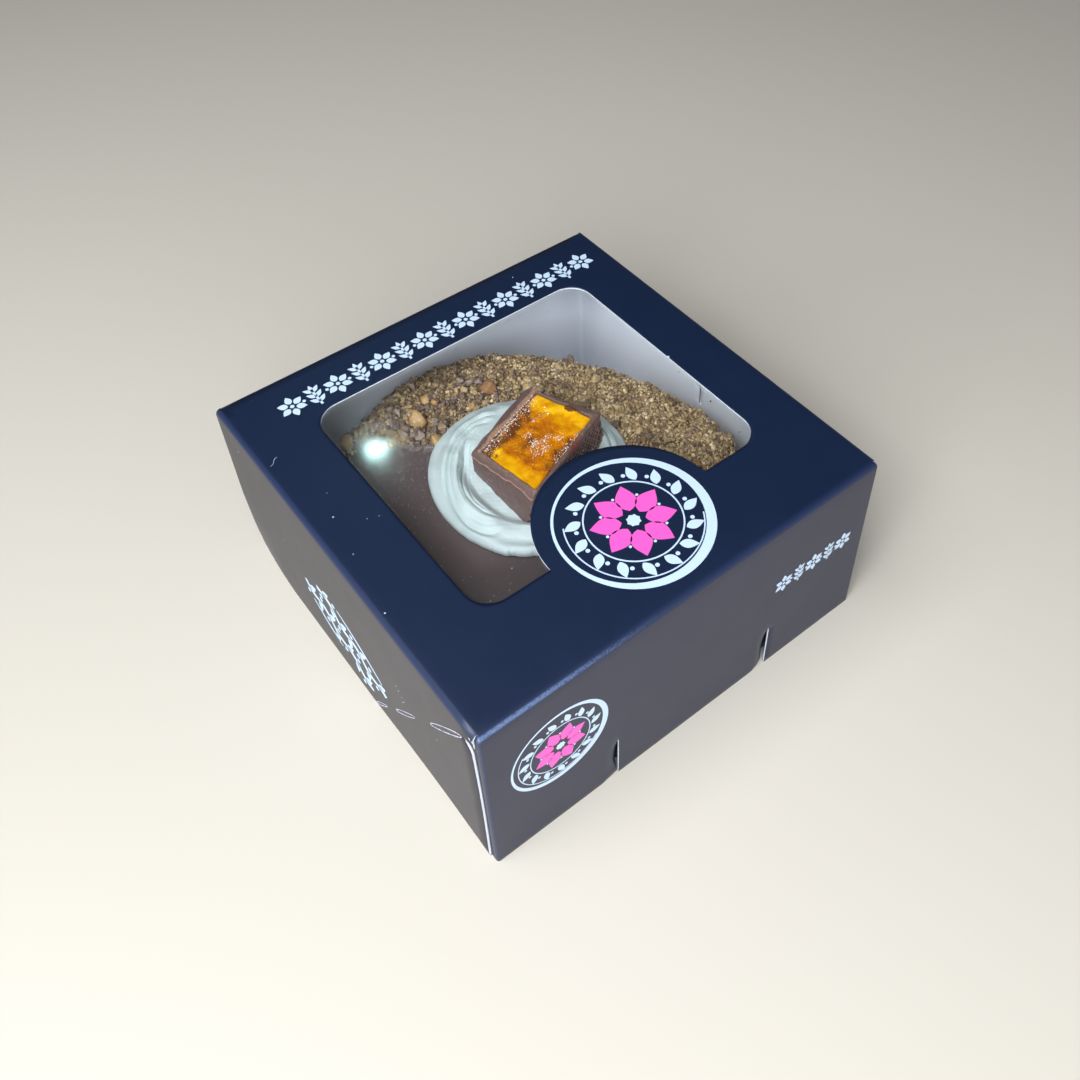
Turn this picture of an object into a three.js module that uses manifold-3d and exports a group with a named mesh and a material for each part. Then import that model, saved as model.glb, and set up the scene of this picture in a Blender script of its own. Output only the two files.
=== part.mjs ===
// A shut, windowed paperboard carton with one large topped doughnut inside.
// Millimetres. +X is to the right, the front wall faces -Y, +Z is up.
// The origin is on the ground, under the middle of the carton.
import * as THREE from 'three';
import { mergeVertices } from 'three/addons/utils/BufferGeometryUtils.js';
import Module from 'manifold-3d';

const wasm = await Module();
wasm.setup();

// ---- carton ----
const cartonWidth = 120;          // outside, along X and along Y
const cartonHeight = 57.5;
const boardThickness = 0.6;
const slipGap = 0.4;              // between the lid and the tray that it covers
const foldRadius = 1.5;           // rounding of the lid's folds
const lidLift = 0.4;              // the lid's walls end this far above the ground
const frontSetback = 3.2;         // tray's front wall, behind the lid's front wall

// ---- window in the lid's top panel ----
const windowLeft = -41.6;
const windowRight = 43.9;
const windowBack = 41.2;
const windowFront = -35.0;
const windowCorner = 7;
const tabCentreX = 0.8;           // round tab that reaches into the window from its front edge
const tabRadius = 23.5;
const filmThickness = 0.25;
const filmMargin = 6;             // glued round the window, under the board

// ---- two lock slits in the lid's front wall ----
const slitPlaces = [-22.8, 27.0];
const slitHeight = 16.5;
const slitWidth = 0.5;

// ---- doughnut ----
const doughnutRadius = 56.0;
const doughnutStretch = 1.9;      // longer from back left to front right by twice this
const doughnutCentre = [0.4, 1.4];
const doughnutEdge = 24;          // how far in the rounded side reaches
const doughnutTop = 41.6;
const doughnutWidest = 19;        // height of the widest line
const doughnutSquareness = 2.5;   // 2 is an ellipse, more is a squarer side

// ---- whipped cream, piped in a low spiral ----
const creamCentre = [-1.4, 2.2];
const creamRadius = 27.2;
const creamBand = 6.4;            // width of one turn of the piped rope
const creamHeight = 6.6;
const creamGroove = 0.3;          // depth of the groove between turns, as a share of the height

// ---- chunk of honeycomb in chocolate, pressed into the cream ----
const chunkCentre = [0.6, 1.2];
const chunkLength = 29;
const chunkWidth = 19.5;
const chunkTurn = 22;             // degrees about Z
const chunkTop = 54.3;
const chunkTilt = 2.4;            // the front left end stands this much higher than the back right
const chunkBottom = 45.2;
const chunkFlare = [1.2, 3.6];    // the foot is wider, along the length and on the back side
const coatThickness = 1.8;
const coatRim = 0.5;              // the coat stands this far above the honeycomb
const partGap = 0.3;

// A closed geometry as a solid for joining and cutting.
function solid(geometry) {
  const bare = geometry.index ? geometry.toNonIndexed() : geometry.clone();
  for (const name of Object.keys(bare.attributes)) {
    if (name !== 'position') bare.deleteAttribute(name);
  }
  const merged = mergeVertices(bare, 1e-4);
  return new wasm.Manifold(new wasm.Mesh({
    numProp: 3,
    vertProperties: new Float32Array(merged.attributes.position.array),
    triVerts: new Uint32Array(merged.index.array),
  }));
}

function geometryOf(body) {
  const mesh = body.getMesh();
  const geometry = new THREE.BufferGeometry();
  geometry.setAttribute('position', new THREE.BufferAttribute(new Float32Array(mesh.vertProperties), 3));
  geometry.setIndex(new THREE.BufferAttribute(new Uint32Array(mesh.triVerts), 1));
  geometry.computeVertexNormals();
  return geometry;
}

function block(low, high) {
  const size = high.map((value, axis) => value - low[axis]);
  const middle = high.map((value, axis) => (value + low[axis]) / 2);
  return new THREE.BoxGeometry(...size).translate(...middle);
}

// A rectangle with round corners, from its left, right, front and back sides.
function roundedRectangle(left, right, front, back, corner) {
  const outline = new THREE.Shape();
  outline.moveTo(left + corner, front);
  outline.lineTo(right - corner, front);
  outline.absarc(right - corner, front + corner, corner, -Math.PI / 2, 0, false);
  outline.absarc(right - corner, back - corner, corner, 0, Math.PI / 2, false);
  outline.absarc(left + corner, back - corner, corner, Math.PI / 2, Math.PI, false);
  outline.absarc(left + corner, front + corner, corner, Math.PI, Math.PI * 1.5, false);
  return outline;
}

// A block with rounded top edges. It runs on below the ground and past the carton's back.
function foldedBlock(half, radius, top) {
  const spare = 10;
  const side = half - radius;
  const geometry = new THREE.ExtrudeGeometry(roundedRectangle(-side, side, -side, half + spare, 0.2), {
    depth: top + spare - 2 * radius,
    bevelEnabled: true,
    bevelThickness: radius,
    bevelSize: radius,
    bevelSegments: 3,
    curveSegments: 3,
  });
  return geometry.translate(0, 0, radius - spare);
}

// The window's outline, grown on every side.
function windowOutline(grow) {
  return roundedRectangle(
    windowLeft - grow,
    windowRight + grow,
    windowFront - grow,
    windowBack + grow,
    windowCorner + grow,
  );
}

function slab(outline, bottom, top, curveSegments) {
  const geometry = new THREE.ExtrudeGeometry(outline, {
    depth: top - bottom,
    bevelEnabled: false,
    curveSegments,
  });
  return geometry.translate(0, 0, bottom);
}

// The lid: top panel with its window, front wall with two slits, and two side walls.
function cartonLid() {
  const half = cartonWidth / 2;
  const panelUnder = cartonHeight - boardThickness;
  const backEnd = half - boardThickness / 2;
  const outer = solid(foldedBlock(half, foldRadius, cartonHeight));
  const inner = solid(foldedBlock(half - boardThickness, foldRadius - boardThickness, panelUnder));
  const past = 20;
  let lid = outer.subtract(inner);
  lid = lid.subtract(solid(block([-half - 1, -half - 1, -past], [half + 1, half + past, lidLift])));
  lid = lid.subtract(solid(block([-half - 1, backEnd, -past], [half + 1, half + past, cartonHeight + 1])));
  const tabDisc = new THREE.CylinderGeometry(tabRadius, tabRadius, past, 40).rotateX(Math.PI / 2);
  const window = solid(slab(windowOutline(0), panelUnder - 1, cartonHeight + 1, 6))
    .subtract(solid(tabDisc.translate(tabCentreX, windowFront, cartonHeight)));
  lid = lid.subtract(window);
  for (const place of slitPlaces) {
    const low = [place - slitWidth / 2, -half - 1, -1];
    const high = [place + slitWidth / 2, -half + boardThickness + 1, slitHeight];
    lid = lid.subtract(solid(block(low, high)));
  }
  return geometryOf(lid);
}

function windowFilm() {
  const top = cartonHeight - boardThickness - 0.1;
  return slab(windowOutline(filmMargin), top - filmThickness, top, 4);
}

// The tray under the lid: a floor, three walls inside the lid's walls, and the back wall.
function cartonTray() {
  const half = cartonWidth / 2;
  const side = half - boardThickness - slipGap;
  const front = -half + frontSetback;
  const wallTop = cartonHeight - boardThickness - slipGap;
  const outer = solid(block([-side, front, 0], [side, half, wallTop]));
  const inner = solid(block(
    [-side + boardThickness, front + boardThickness, boardThickness],
    [side - boardThickness, half - boardThickness, cartonHeight],
  ));
  return geometryOf(outer.subtract(inner));
}

// A closed body of rings about the Z axis: each ring gives a radius and a height at an angle.
function ringedBody(rings, segments, bottomHeight, topHeight) {
  const points = [0, 0, bottomHeight];
  for (const ring of rings) {
    for (let segment = 0; segment < segments; segment += 1) {
      const angle = (segment / segments) * Math.PI * 2;
      const { radius, height } = ring(angle);
      points.push(radius * Math.cos(angle), radius * Math.sin(angle), height);
    }
  }
  points.push(0, 0, topHeight);
  const last = points.length / 3 - 1;
  const faces = [];
  for (let segment = 0; segment < segments; segment += 1) {
    const next = (segment + 1) % segments;
    faces.push(0, 1 + next, 1 + segment);
    for (let ring = 0; ring < rings.length - 1; ring += 1) {
      const here = 1 + ring * segments;
      const above = here + segments;
      faces.push(here + segment, here + next, above + next);
      faces.push(here + segment, above + next, above + segment);
    }
    const topRing = 1 + (rings.length - 1) * segments;
    faces.push(topRing + segment, topRing + next, last);
  }
  const geometry = new THREE.BufferGeometry();
  geometry.setAttribute('position', new THREE.Float32BufferAttribute(points, 3));
  geometry.setIndex(faces);
  return geometry;
}

// The doughnut is one solid: its filled middle is hidden under the cream.
function doughnut() {
  const floorTop = boardThickness + partGap;
  const sideSteps = 22;
  const rings = [];
  for (let step = 0; step <= sideSteps; step += 1) {
    const turn = (step / sideSteps - 0.5) * Math.PI;
    const reach = Math.abs(Math.cos(turn)) ** (2 / doughnutSquareness);
    const climb = Math.abs(Math.sin(turn)) ** (2 / doughnutSquareness);
    const height = turn > 0
      ? doughnutWidest + (doughnutTop - doughnutWidest) * climb
      : doughnutWidest - (doughnutWidest - floorTop) * climb;
    rings.push((angle) => {
      const outline = doughnutRadius - doughnutStretch * Math.sin(2 * angle);
      return { radius: outline - doughnutEdge * (1 - reach), height };
    });
  }
  return ringedBody(rings, 60, floorTop, doughnutTop);
}

// Height of the piped cream above its foot, at a distance and an angle from its middle.
function creamRelief(distance, angle, radius) {
  const turns = (radius - distance) / creamBand + angle / (Math.PI * 2);
  const rope = Math.abs(Math.sin(turns * Math.PI)) ** 0.6;
  const outer = Math.min(1, (radius - distance) / (creamBand * 0.5));
  const shoulder = Math.sqrt(Math.max(0, 1 - (1 - outer) ** 2));
  const rise = 0.78 + 0.22 * (1 - distance / radius);
  return creamHeight * rise * shoulder * (1 - creamGroove * (1 - rope));
}

function creamSwirl() {
  const foot = doughnutTop + partGap;
  const segments = 72;
  const ringSteps = 15;
  const rim = (angle) => creamRadius + 0.5 * Math.sin(3 * angle + 1) + 0.35 * Math.sin(5 * angle);
  const rings = [(angle) => ({ radius: rim(angle) - 1.2, height: foot })];
  for (let step = 0; step < ringSteps; step += 1) {
    const share = 1 - step / ringSteps;
    rings.push((angle) => {
      const radius = rim(angle);
      const distance = radius * share;
      const lip = step === 0 ? 1.1 : 0;
      return { radius: distance, height: foot + Math.max(lip, creamRelief(distance, angle, radius)) };
    });
  }
  const top = foot + creamRelief(0, 0, creamRadius);
  const rope = ringedBody(rings, segments, foot, top).translate(creamCentre[0], creamCentre[1], 0);
  return geometryOf(solid(rope).subtract(solid(chunkBlock(-partGap, 0, 20))));
}

// The chunk's block, a box with a wider foot, turned and tilted in its place.
// inset draws its sides and foot in, lowered lowers its top, raised lifts its top.
function chunkBlock(inset, lowered, raised) {
  const geometry = new THREE.BoxGeometry(1, 1, 1);
  const position = geometry.attributes.position;
  const turn = THREE.MathUtils.degToRad(chunkTurn);
  for (let index = 0; index < position.count; index += 1) {
    const along = Math.sign(position.getX(index));
    const across = Math.sign(position.getY(index));
    const isTop = position.getZ(index) > 0;
    const footLength = isTop ? 0 : chunkFlare[0];
    const footBack = isTop || across < 0 ? 0 : chunkFlare[1];
    const x = along * (chunkLength / 2 + footLength - inset);
    const y = across * (chunkWidth / 2 - inset) + footBack;
    const tilt = -along * chunkTilt / 2 - across * chunkTilt / 4;
    const z = isTop ? chunkTop + tilt - lowered + raised : chunkBottom + inset;
    position.setXYZ(
      index,
      chunkCentre[0] + x * Math.cos(turn) - y * Math.sin(turn),
      chunkCentre[1] + x * Math.sin(turn) + y * Math.cos(turn),
      z,
    );
  }
  return geometry;
}

function chocolateCoat() {
  const hollow = solid(chunkBlock(coatThickness, 0, 20));
  return geometryOf(solid(chunkBlock(0, 0, 0)).subtract(hollow));
}

function honeycombCore() {
  return chunkBlock(coatThickness + partGap, coatRim, 0);
}

function piece(name, geometry, color, roughness) {
  const mesh = new THREE.Mesh(geometry, new THREE.MeshStandardMaterial({ color, roughness, metalness: 0 }));
  mesh.name = name;
  return mesh;
}

const group = new THREE.Group();
group.add(piece('carton_tray', cartonTray(), 0xdcdce4, 0.7));
group.add(piece('carton_lid', cartonLid(), 0x222e4d, 0.4));
const film = piece('window_film', windowFilm(), 0xdfe8ee, 0.05);
film.material.transparent = true;
film.material.opacity = 0.25;
group.add(film);
const treat = piece('doughnut', doughnut(), 0x55463f, 0.5);
treat.position.set(doughnutCentre[0], doughnutCentre[1], 0);
group.add(treat);
group.add(piece('cream_swirl', creamSwirl(), 0xdae8e6, 0.6));
group.add(piece('chocolate_coat', chocolateCoat(), 0x6b5049, 0.45));
group.add(piece('honeycomb_core', honeycombCore(), 0xe39a1c, 0.35));

export default group;
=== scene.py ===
import contextlib
import math

import bmesh
import bpy
import numpy as np
from mathutils import Matrix, Vector


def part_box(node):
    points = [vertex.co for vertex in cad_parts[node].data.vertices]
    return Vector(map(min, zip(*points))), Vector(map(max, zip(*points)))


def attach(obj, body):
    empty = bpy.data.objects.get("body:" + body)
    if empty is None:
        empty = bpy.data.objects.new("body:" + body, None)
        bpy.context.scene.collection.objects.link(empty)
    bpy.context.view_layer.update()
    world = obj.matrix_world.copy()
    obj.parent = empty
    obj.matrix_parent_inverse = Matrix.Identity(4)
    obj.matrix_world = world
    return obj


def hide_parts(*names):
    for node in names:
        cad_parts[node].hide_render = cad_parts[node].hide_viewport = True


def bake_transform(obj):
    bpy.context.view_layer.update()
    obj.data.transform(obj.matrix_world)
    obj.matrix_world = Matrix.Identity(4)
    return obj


# A windowed paperboard carton with one topped doughnut. Lengths here are millimetres.
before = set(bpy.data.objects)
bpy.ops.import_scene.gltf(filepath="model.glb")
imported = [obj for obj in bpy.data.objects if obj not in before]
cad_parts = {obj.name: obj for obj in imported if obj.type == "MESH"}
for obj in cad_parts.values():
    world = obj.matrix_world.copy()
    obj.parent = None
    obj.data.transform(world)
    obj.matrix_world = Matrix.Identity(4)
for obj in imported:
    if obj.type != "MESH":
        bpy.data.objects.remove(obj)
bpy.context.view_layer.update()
mm = 0.001
diagonal = math.sqrt(0.5)


def nodeBox(name):
    low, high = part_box(name)
    return np.array(low) / mm, np.array(high) / mm


lidHigh = nodeBox("carton_lid")[1]
trayLow, trayHigh = nodeBox("carton_tray")
filmLow, filmHigh = nodeBox("window_film")
doughLow, doughHigh = nodeBox("doughnut")

carton = {
    "board": 0.45,          # thickness of the paperboard
    "foldRadius": 1.5,
    "backRadius": 0.8,      # the fold that the lid turns on is sharper
    "inset": 0.05,          # keeps the print inside the outer size
    "windowCorner": 7.0,
    "filmMargin": 6.0,      # glued strip of film round the window, which is narrower at the back
    "backMargin": 5.0,
    "tabCentreX": 0.8,      # round tab at the window's front edge
    "tabRadius": 23.5,
    "slitHeight": 16.5,
    "slitGap": 0.12,        # half its width
    "slits": [              # where, how deep the left lip curls in, and the share of it at the foot
        {"x": -22.95, "curl": 1.35, "foot": 0.3},
        {"x": 27.0, "curl": 1.45, "foot": 0.9},
    ],
    "flap": 9.0,            # glue flaps inside the front corners
    "dent": 1.3,            # how far the lower left rear corner is pushed in
    "dentLength": 19.0,
    "dentHeight": 24.0,
    "creaseAt": -5.5,       # the slanting crease on the side walls: z = creaseAt + creaseSlope * y
    "creaseSlope": -1.06,
    "web": 0.3,             # how far the wall below that crease lies inside its plane
    "cutBack": 0.95,        # how far the side walls' front edge lies behind the corner's round
    "cutBend": 48.6,        # from here up to cutTop that edge curves back into the crease
    "cutTop": 52.6,
    "cutReach": 2.5,        # how far back it curves
}
half = lidHigh[0] - carton["inset"]
top = lidHigh[2] - carton["inset"]
foldRadius = carton["foldRadius"]
side = half - foldRadius                     # where the flat part of a face ends
wallTop = top - foldRadius                   # and where a wall turns into the top
backEnd = lidHigh[1] - carton["inset"]       # rear edge of the lid's side walls
backFace = backEnd + 0.3                     # outer face of the tray's back wall
backTop = top - carton["backRadius"]         # where that wall turns into the fold that the lid turns on
panelRear = backFace - carton["backRadius"]  # where that fold meets the top panel
lidFoot = 0.15
window = {
    "left": filmLow[0] + carton["filmMargin"],
    "right": filmHigh[0] - carton["filmMargin"],
    "front": filmLow[1] + carton["filmMargin"],
    "back": filmHigh[1] - carton["backMargin"],
}


def paint(red, green, blue):
    # a colour given by its 0 to 255 screen values
    shares = [value / 255 for value in (red, green, blue)]
    return tuple(s / 12.92 if s <= 0.04045 else ((s + 0.055) / 1.055) ** 2.4 for s in shares) + (1.0,)


class Signal:
    # wraps a socket, so that shader maths reads as an expression
    def __init__(self, graph, socket):
        self.graph = graph
        self.socket = socket

    def __add__(self, other):
        return self.graph.maths("ADD", self, other)

    def __sub__(self, other):
        return self.graph.maths("SUBTRACT", self, other)

    def __rsub__(self, other):
        return self.graph.maths("SUBTRACT", other, self)

    def __mul__(self, other):
        return self.graph.maths("MULTIPLY", self, other)

    def __truediv__(self, other):
        return self.graph.maths("DIVIDE", self, other)

    def __pow__(self, other):
        return self.graph.maths("POWER", self, other)

    def __abs__(self):
        return self.graph.maths("ABSOLUTE", self)

    def __neg__(self):
        return self.graph.maths("MULTIPLY", self, -1.0)

    __radd__ = __add__
    __rmul__ = __mul__


class Graph:
    # the node tree of a material or the world, and the ways to add to it
    def __init__(self, owner):
        owner.use_nodes = True
        self.tree = owner.node_tree
        self.tree.nodes.clear()

    def socket(self, sockets, key):
        if isinstance(key, int):
            return sockets[key]
        return next(s for s in sockets if s.enabled and key in (s.identifier, s.name))

    def node(self, kind, settings, inputs, output=0):
        made = self.tree.nodes.new(kind)
        for key, value in settings.items():
            if key == "stops":
                ramp = made.color_ramp
                while len(ramp.elements) > 1:
                    ramp.elements.remove(ramp.elements[-1])
                for number, (position, colour) in enumerate(value):
                    stop = ramp.elements[0] if number == 0 else ramp.elements.new(position)
                    stop.position = position
                    stop.color = colour
            else:
                setattr(made, key, value)
        for key, value in inputs.items():
            entry = self.socket(made.inputs, key)
            if isinstance(value, Signal):
                self.tree.links.new(value.socket, entry)
            else:
                entry.default_value = value
        return Signal(self, self.socket(made.outputs, output) if len(made.outputs) else None)

    def maths(self, operation, *values):
        return self.node("ShaderNodeMath", {"operation": operation}, dict(enumerate(values)))

    def parts(self, vector, axes):
        return [self.node("ShaderNodeSeparateXYZ", {}, {0: vector}, axis) for axis in axes]

    def mix(self, share, low, high):
        inputs = {"Factor_Float": share, "A_Color": low, "B_Color": high}
        return self.node("ShaderNodeMix", {"data_type": "RGBA"}, inputs, "Result_Color")

    def ramp(self, value, *stops):
        return self.node("ShaderNodeValToRGB", {"stops": stops}, {"Fac": value}, "Color")

    def step(self, value, start, end, low=0.0, high=1.0, kind="SMOOTHSTEP"):
        # one level up to a start, another from an end on, and smooth between
        inputs = {"Value": value, "From Min": start, "From Max": end, "To Min": low, "To Max": high}
        return self.node("ShaderNodeMapRange", {"interpolation_type": kind}, inputs, "Result")


class Finish(Graph):
    # a material whose patterns follow the piece in millimetres
    def __init__(self, name):
        self.material = bpy.data.materials.new(name)
        super().__init__(self.material)
        place = self.node("ShaderNodeTexCoord", {}, {}, "Object")
        scaled = {0: place, "Scale": 1 / mm}
        self.place = self.node("ShaderNodeVectorMath", {"operation": "SCALE"}, scaled, "Vector")
        self.x, self.y, self.z = self.parts(self.place, "XYZ")

    def grain(self, size, detail=2.0, roughness=0.5):
        # noise with features of a size
        inputs = {"Vector": self.place, "Scale": 1 / size, "Detail": detail, "Roughness": roughness}
        return self.node("ShaderNodeTexNoise", {}, inputs, 0)

    def cells(self, size, output="Distance"):
        return self.node("ShaderNodeTexVoronoi", {}, {"Vector": self.place, "Scale": 1 / size}, output)

    def attribute(self, name):
        return self.node("ShaderNodeAttribute", {"attribute_name": name}, {}, "Fac")

    def bump(self, height, depth):
        # relief of a depth
        return self.node("ShaderNodeBump", {}, {"Height": height, "Distance": depth * mm}, "Normal")

    def surface(self, **sockets):
        named = {key.replace("_", " "): value for key, value in sockets.items()}
        shader = self.node("ShaderNodeBsdfPrincipled", {}, named, "BSDF")
        self.node("ShaderNodeOutputMaterial", {}, {"Surface": shader})
        return self


def ripple(points, size, seed, waves=24):
    # smooth noise between about -1 and 1 at an array of points, with features of one size
    draw = np.random.default_rng(seed)
    points = np.atleast_2d(points)
    total = np.zeros(len(points))
    for _ in range(waves):
        direction = draw.normal(size=points.shape[1])
        direction *= draw.uniform(0.45, 1.6) / np.linalg.norm(direction)
        total += np.sin(points @ direction * (2 * math.pi / size) + draw.uniform(0, 2 * math.pi))
    return total / math.sqrt(waves * 0.5) * 0.5


def smooth(value, start, end):
    share = np.clip((value - start) / (end - start), 0, 1)
    return share * share * (3 - 2 * share)


def makePiece(name, points, faces, finishes, isSmooth=True):
    mesh = bpy.data.meshes.new(name)
    mesh.from_pydata((np.asarray(points, float) * mm).tolist(), [], faces)
    for finish in finishes:
        mesh.materials.append(finish.material)
    mesh.polygons.foreach_set("use_smooth", [isSmooth] * len(mesh.polygons))
    mesh.update()
    piece = bpy.data.objects.new(name, mesh)
    bpy.context.scene.collection.objects.link(piece)
    return piece


@contextlib.contextmanager
def reshaping(piece):
    # opens the piece's mesh for changes, and writes them back
    shape = bmesh.new()
    shape.from_mesh(piece.data)
    yield shape
    shape.to_mesh(piece.data)
    shape.free()


def weld(piece, distance=0.01):
    with reshaping(piece) as shape:
        bmesh.ops.remove_doubles(shape, verts=shape.verts, dist=distance * mm)
        bmesh.ops.dissolve_degenerate(shape, edges=shape.edges, dist=distance * mm * 0.1)
    return piece


def addMarks(piece, spare=0, **marks):
    # numbers on the piece's points, for its finish, and none on a few spare points at the end
    for name, values in marks.items():
        values = np.concatenate([np.ravel(values), np.zeros(spare)]).astype(np.float32)
        piece.data.attributes.new(name, "FLOAT", "POINT").data.foreach_set("value", values)


def thicken(piece, thickness, inward=True):
    # gives a sheet its thickness. Behind finish 0 lies finish 1, and finish 2 is on the cut edges
    shell = piece.modifiers.new("board", "SOLIDIFY")
    shell.thickness = thickness * mm
    shell.offset = -1 if inward else 1
    shell.use_even_offset = True
    if len(piece.data.materials) > 2:
        shell.material_offset = 1
        shell.material_offset_rim = 2
    graph = bpy.context.evaluated_depsgraph_get()
    solid = bpy.data.meshes.new_from_object(piece.evaluated_get(graph))
    piece.modifiers.clear()
    piece.data = solid
    return piece


def settle(piece, body, slot, *nodes):
    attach(piece, body)
    if nodes:
        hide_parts(*nodes)
    print(piece.name, "made, with", len(piece.data.polygons), "faces")


class Patchwork:
    # collects grids of points that share their borders, and welds them into one sheet
    def __init__(self):
        self.points = []
        self.faces = []

    def grid(self, rows, outward, closed=False, skip=()):
        rows = np.asarray(rows, float)
        count, width = rows.shape[:2]
        start = len(self.points)
        self.points.extend(rows.reshape(-1, 3))
        quads = []
        lean = np.zeros(3)
        for row in range(count - 1):
            for column in range(width if closed else width - 1):
                if (row, column) in skip:
                    continue
                after = (column + 1) % width
                rising = rows[row + 1, after] - rows[row, column]
                lean += np.cross(rising, rows[row + 1, column] - rows[row, after])
                here = start + row * width
                above = here + width
                quads.append((here + column, here + after, above + after, above + column))
        if lean @ np.asarray(outward, float) < 0:
            quads = [quad[::-1] for quad in quads]
        self.faces.extend(quads)

    def piece(self, name, finishes):
        return weld(makePiece(name, self.points, self.faces, finishes))


def ringedBody(name, rings, finishes, bottom, crown):
    # a closed body of rings of points, with a middle point under the first and over the last
    rings = np.asarray(rings, float)
    count, width = rings.shape[:2]
    points = np.concatenate([rings.reshape(-1, 3), [bottom, crown]])
    faces = []
    for row in range(count - 1):
        here = row * width
        for column in range(width):
            after = (column + 1) % width
            faces.append((here + column, here + after, here + width + after, here + width + column))
    last = (count - 1) * width
    for column in range(width):
        after = (column + 1) % width
        faces.append((count * width, after, column))
        faces.append((last + column, last + after, count * width + 1))
    return makePiece(name, points, faces, finishes)


def printedFinish():
    finish = Finish("navy_laminate")
    aside = finish.step(abs(finish.x), side - 0.4, half - 0.3)
    ahead = finish.step(-finish.y, side - 0.9, half - 0.3)
    above = finish.step(finish.z, top - foldRadius - 0.2, top - 0.5)
    isLeft = finish.step(finish.x, 10.0, -30.0)
    mottle = finish.grain(9.0, 3.0)
    fibres = finish.grain(0.5, 3.0, 0.6)
    rub = finish.grain(1.1, 4.0, 0.75)
    streak = finish.grain(0.5, 5.0, 0.75)
    # painted highlight: the folds' rounded edges are mixed towards a lighter navy, stronger on the left
    # side and broken up by rub noise
    fold = finish.maths("MAXIMUM", aside * above * (0.15 + 0.35 * isLeft), ahead * above * 0.35)
    fold = finish.maths("MAXIMUM", fold, ahead * aside * 0.55)
    colour = finish.mix(mottle * 0.5, paint(10, 26, 54), paint(14, 31, 61))
    # painted sheen: the walls get a lighter, greyer navy than the top, warmer on the side walls, for the
    # grey sheen they show
    wall = finish.mix(finish.step(abs(finish.x), side, half), paint(20, 25, 54), paint(23, 20, 34))
    colour = finish.mix(finish.step(finish.z, top - 0.9, top - 2.2), colour, wall)
    colour = finish.mix(fold * (0.55 + 0.6 * rub), colour, paint(40, 52, 92))
    nearCorner = finish.step(finish.x, -2.0, -50.0)
    edge = finish.step(-finish.y, side + 0.45, side + 0.95)
    edge = edge * finish.step(-finish.y, half + 0.05, half - 0.25)
    worn = finish.step(streak + 0.12 * nearCorner, 0.44, 0.66) * edge * above * nearCorner
    colour = finish.mix(worn * 0.6, colour, paint(112, 132, 176))
    return finish.surface(
        Base_Color=colour,
        Roughness=0.42 + 0.06 * mottle + 0.1 * fold,
        IOR=1.5,
        Coat_Weight=0.15,
        Coat_Roughness=0.22,
        Normal=finish.bump(fibres * 0.6 + mottle * 0.4, 0.03),
    )


def boardFinish():
    finish = Finish("white_board")
    fibres = finish.grain(0.35, 4.0, 0.65)
    cloud = finish.grain(14.0, 2.0)
    colour = finish.mix(cloud, paint(230, 236, 248), paint(239, 243, 252))
    colour = finish.mix(finish.step(fibres, 0.62, 0.8) * 0.25, colour, paint(196, 196, 204))
    # painted shade: the crease in the rear right corner is greyer, most of all high up
    rear = finish.step(finish.y, 46.0, 57.0) * finish.step(finish.x, 46.0, 57.0)
    rear = rear * (0.25 + 0.5 * finish.step(finish.z, 26.0, 50.0))
    colour = finish.mix(rear, colour, paint(172, 174, 186))
    roughness = 0.55 + 0.1 * fibres
    return finish.surface(Base_Color=colour, Roughness=roughness, Normal=finish.bump(fibres, 0.03))


def edgeFinish():
    finish = Finish("raw_board_edge")
    plies = finish.grain(0.12, 3.0, 0.7)
    colour = finish.mix(plies, paint(178, 184, 196), paint(226, 230, 236))
    return finish.surface(Base_Color=colour, Roughness=0.8, Normal=finish.bump(plies, 0.05))


def filmFinish():
    finish = Finish("clear_film")
    # the alpha is the share of light that the film throws back, so the skin itself is a plain mirror
    haze = finish.grain(13.0, 3.0)
    scratches = finish.grain(0.55, 5.0, 0.8)
    grazing = finish.node("ShaderNodeLayerWeight", {}, {"Blend": 0.5}, "Facing")
    cloudy = finish.step(haze, 0.5, 0.72) * finish.step(finish.x, 0.0, -40.0)
    return finish.surface(
        Base_Color=finish.mix(scratches * 0.4, paint(255, 255, 255), paint(226, 234, 240)),
        Metallic=1.0,
        Roughness=0.07 + 0.12 * finish.step(scratches, 0.5, 0.7),
        Alpha=finish.maths("MINIMUM", 0.04 + 0.9 * grazing ** 5 + 0.05 * cloudy, 0.75),
        Normal=finish.bump(haze, 0.02),
    )


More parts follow.
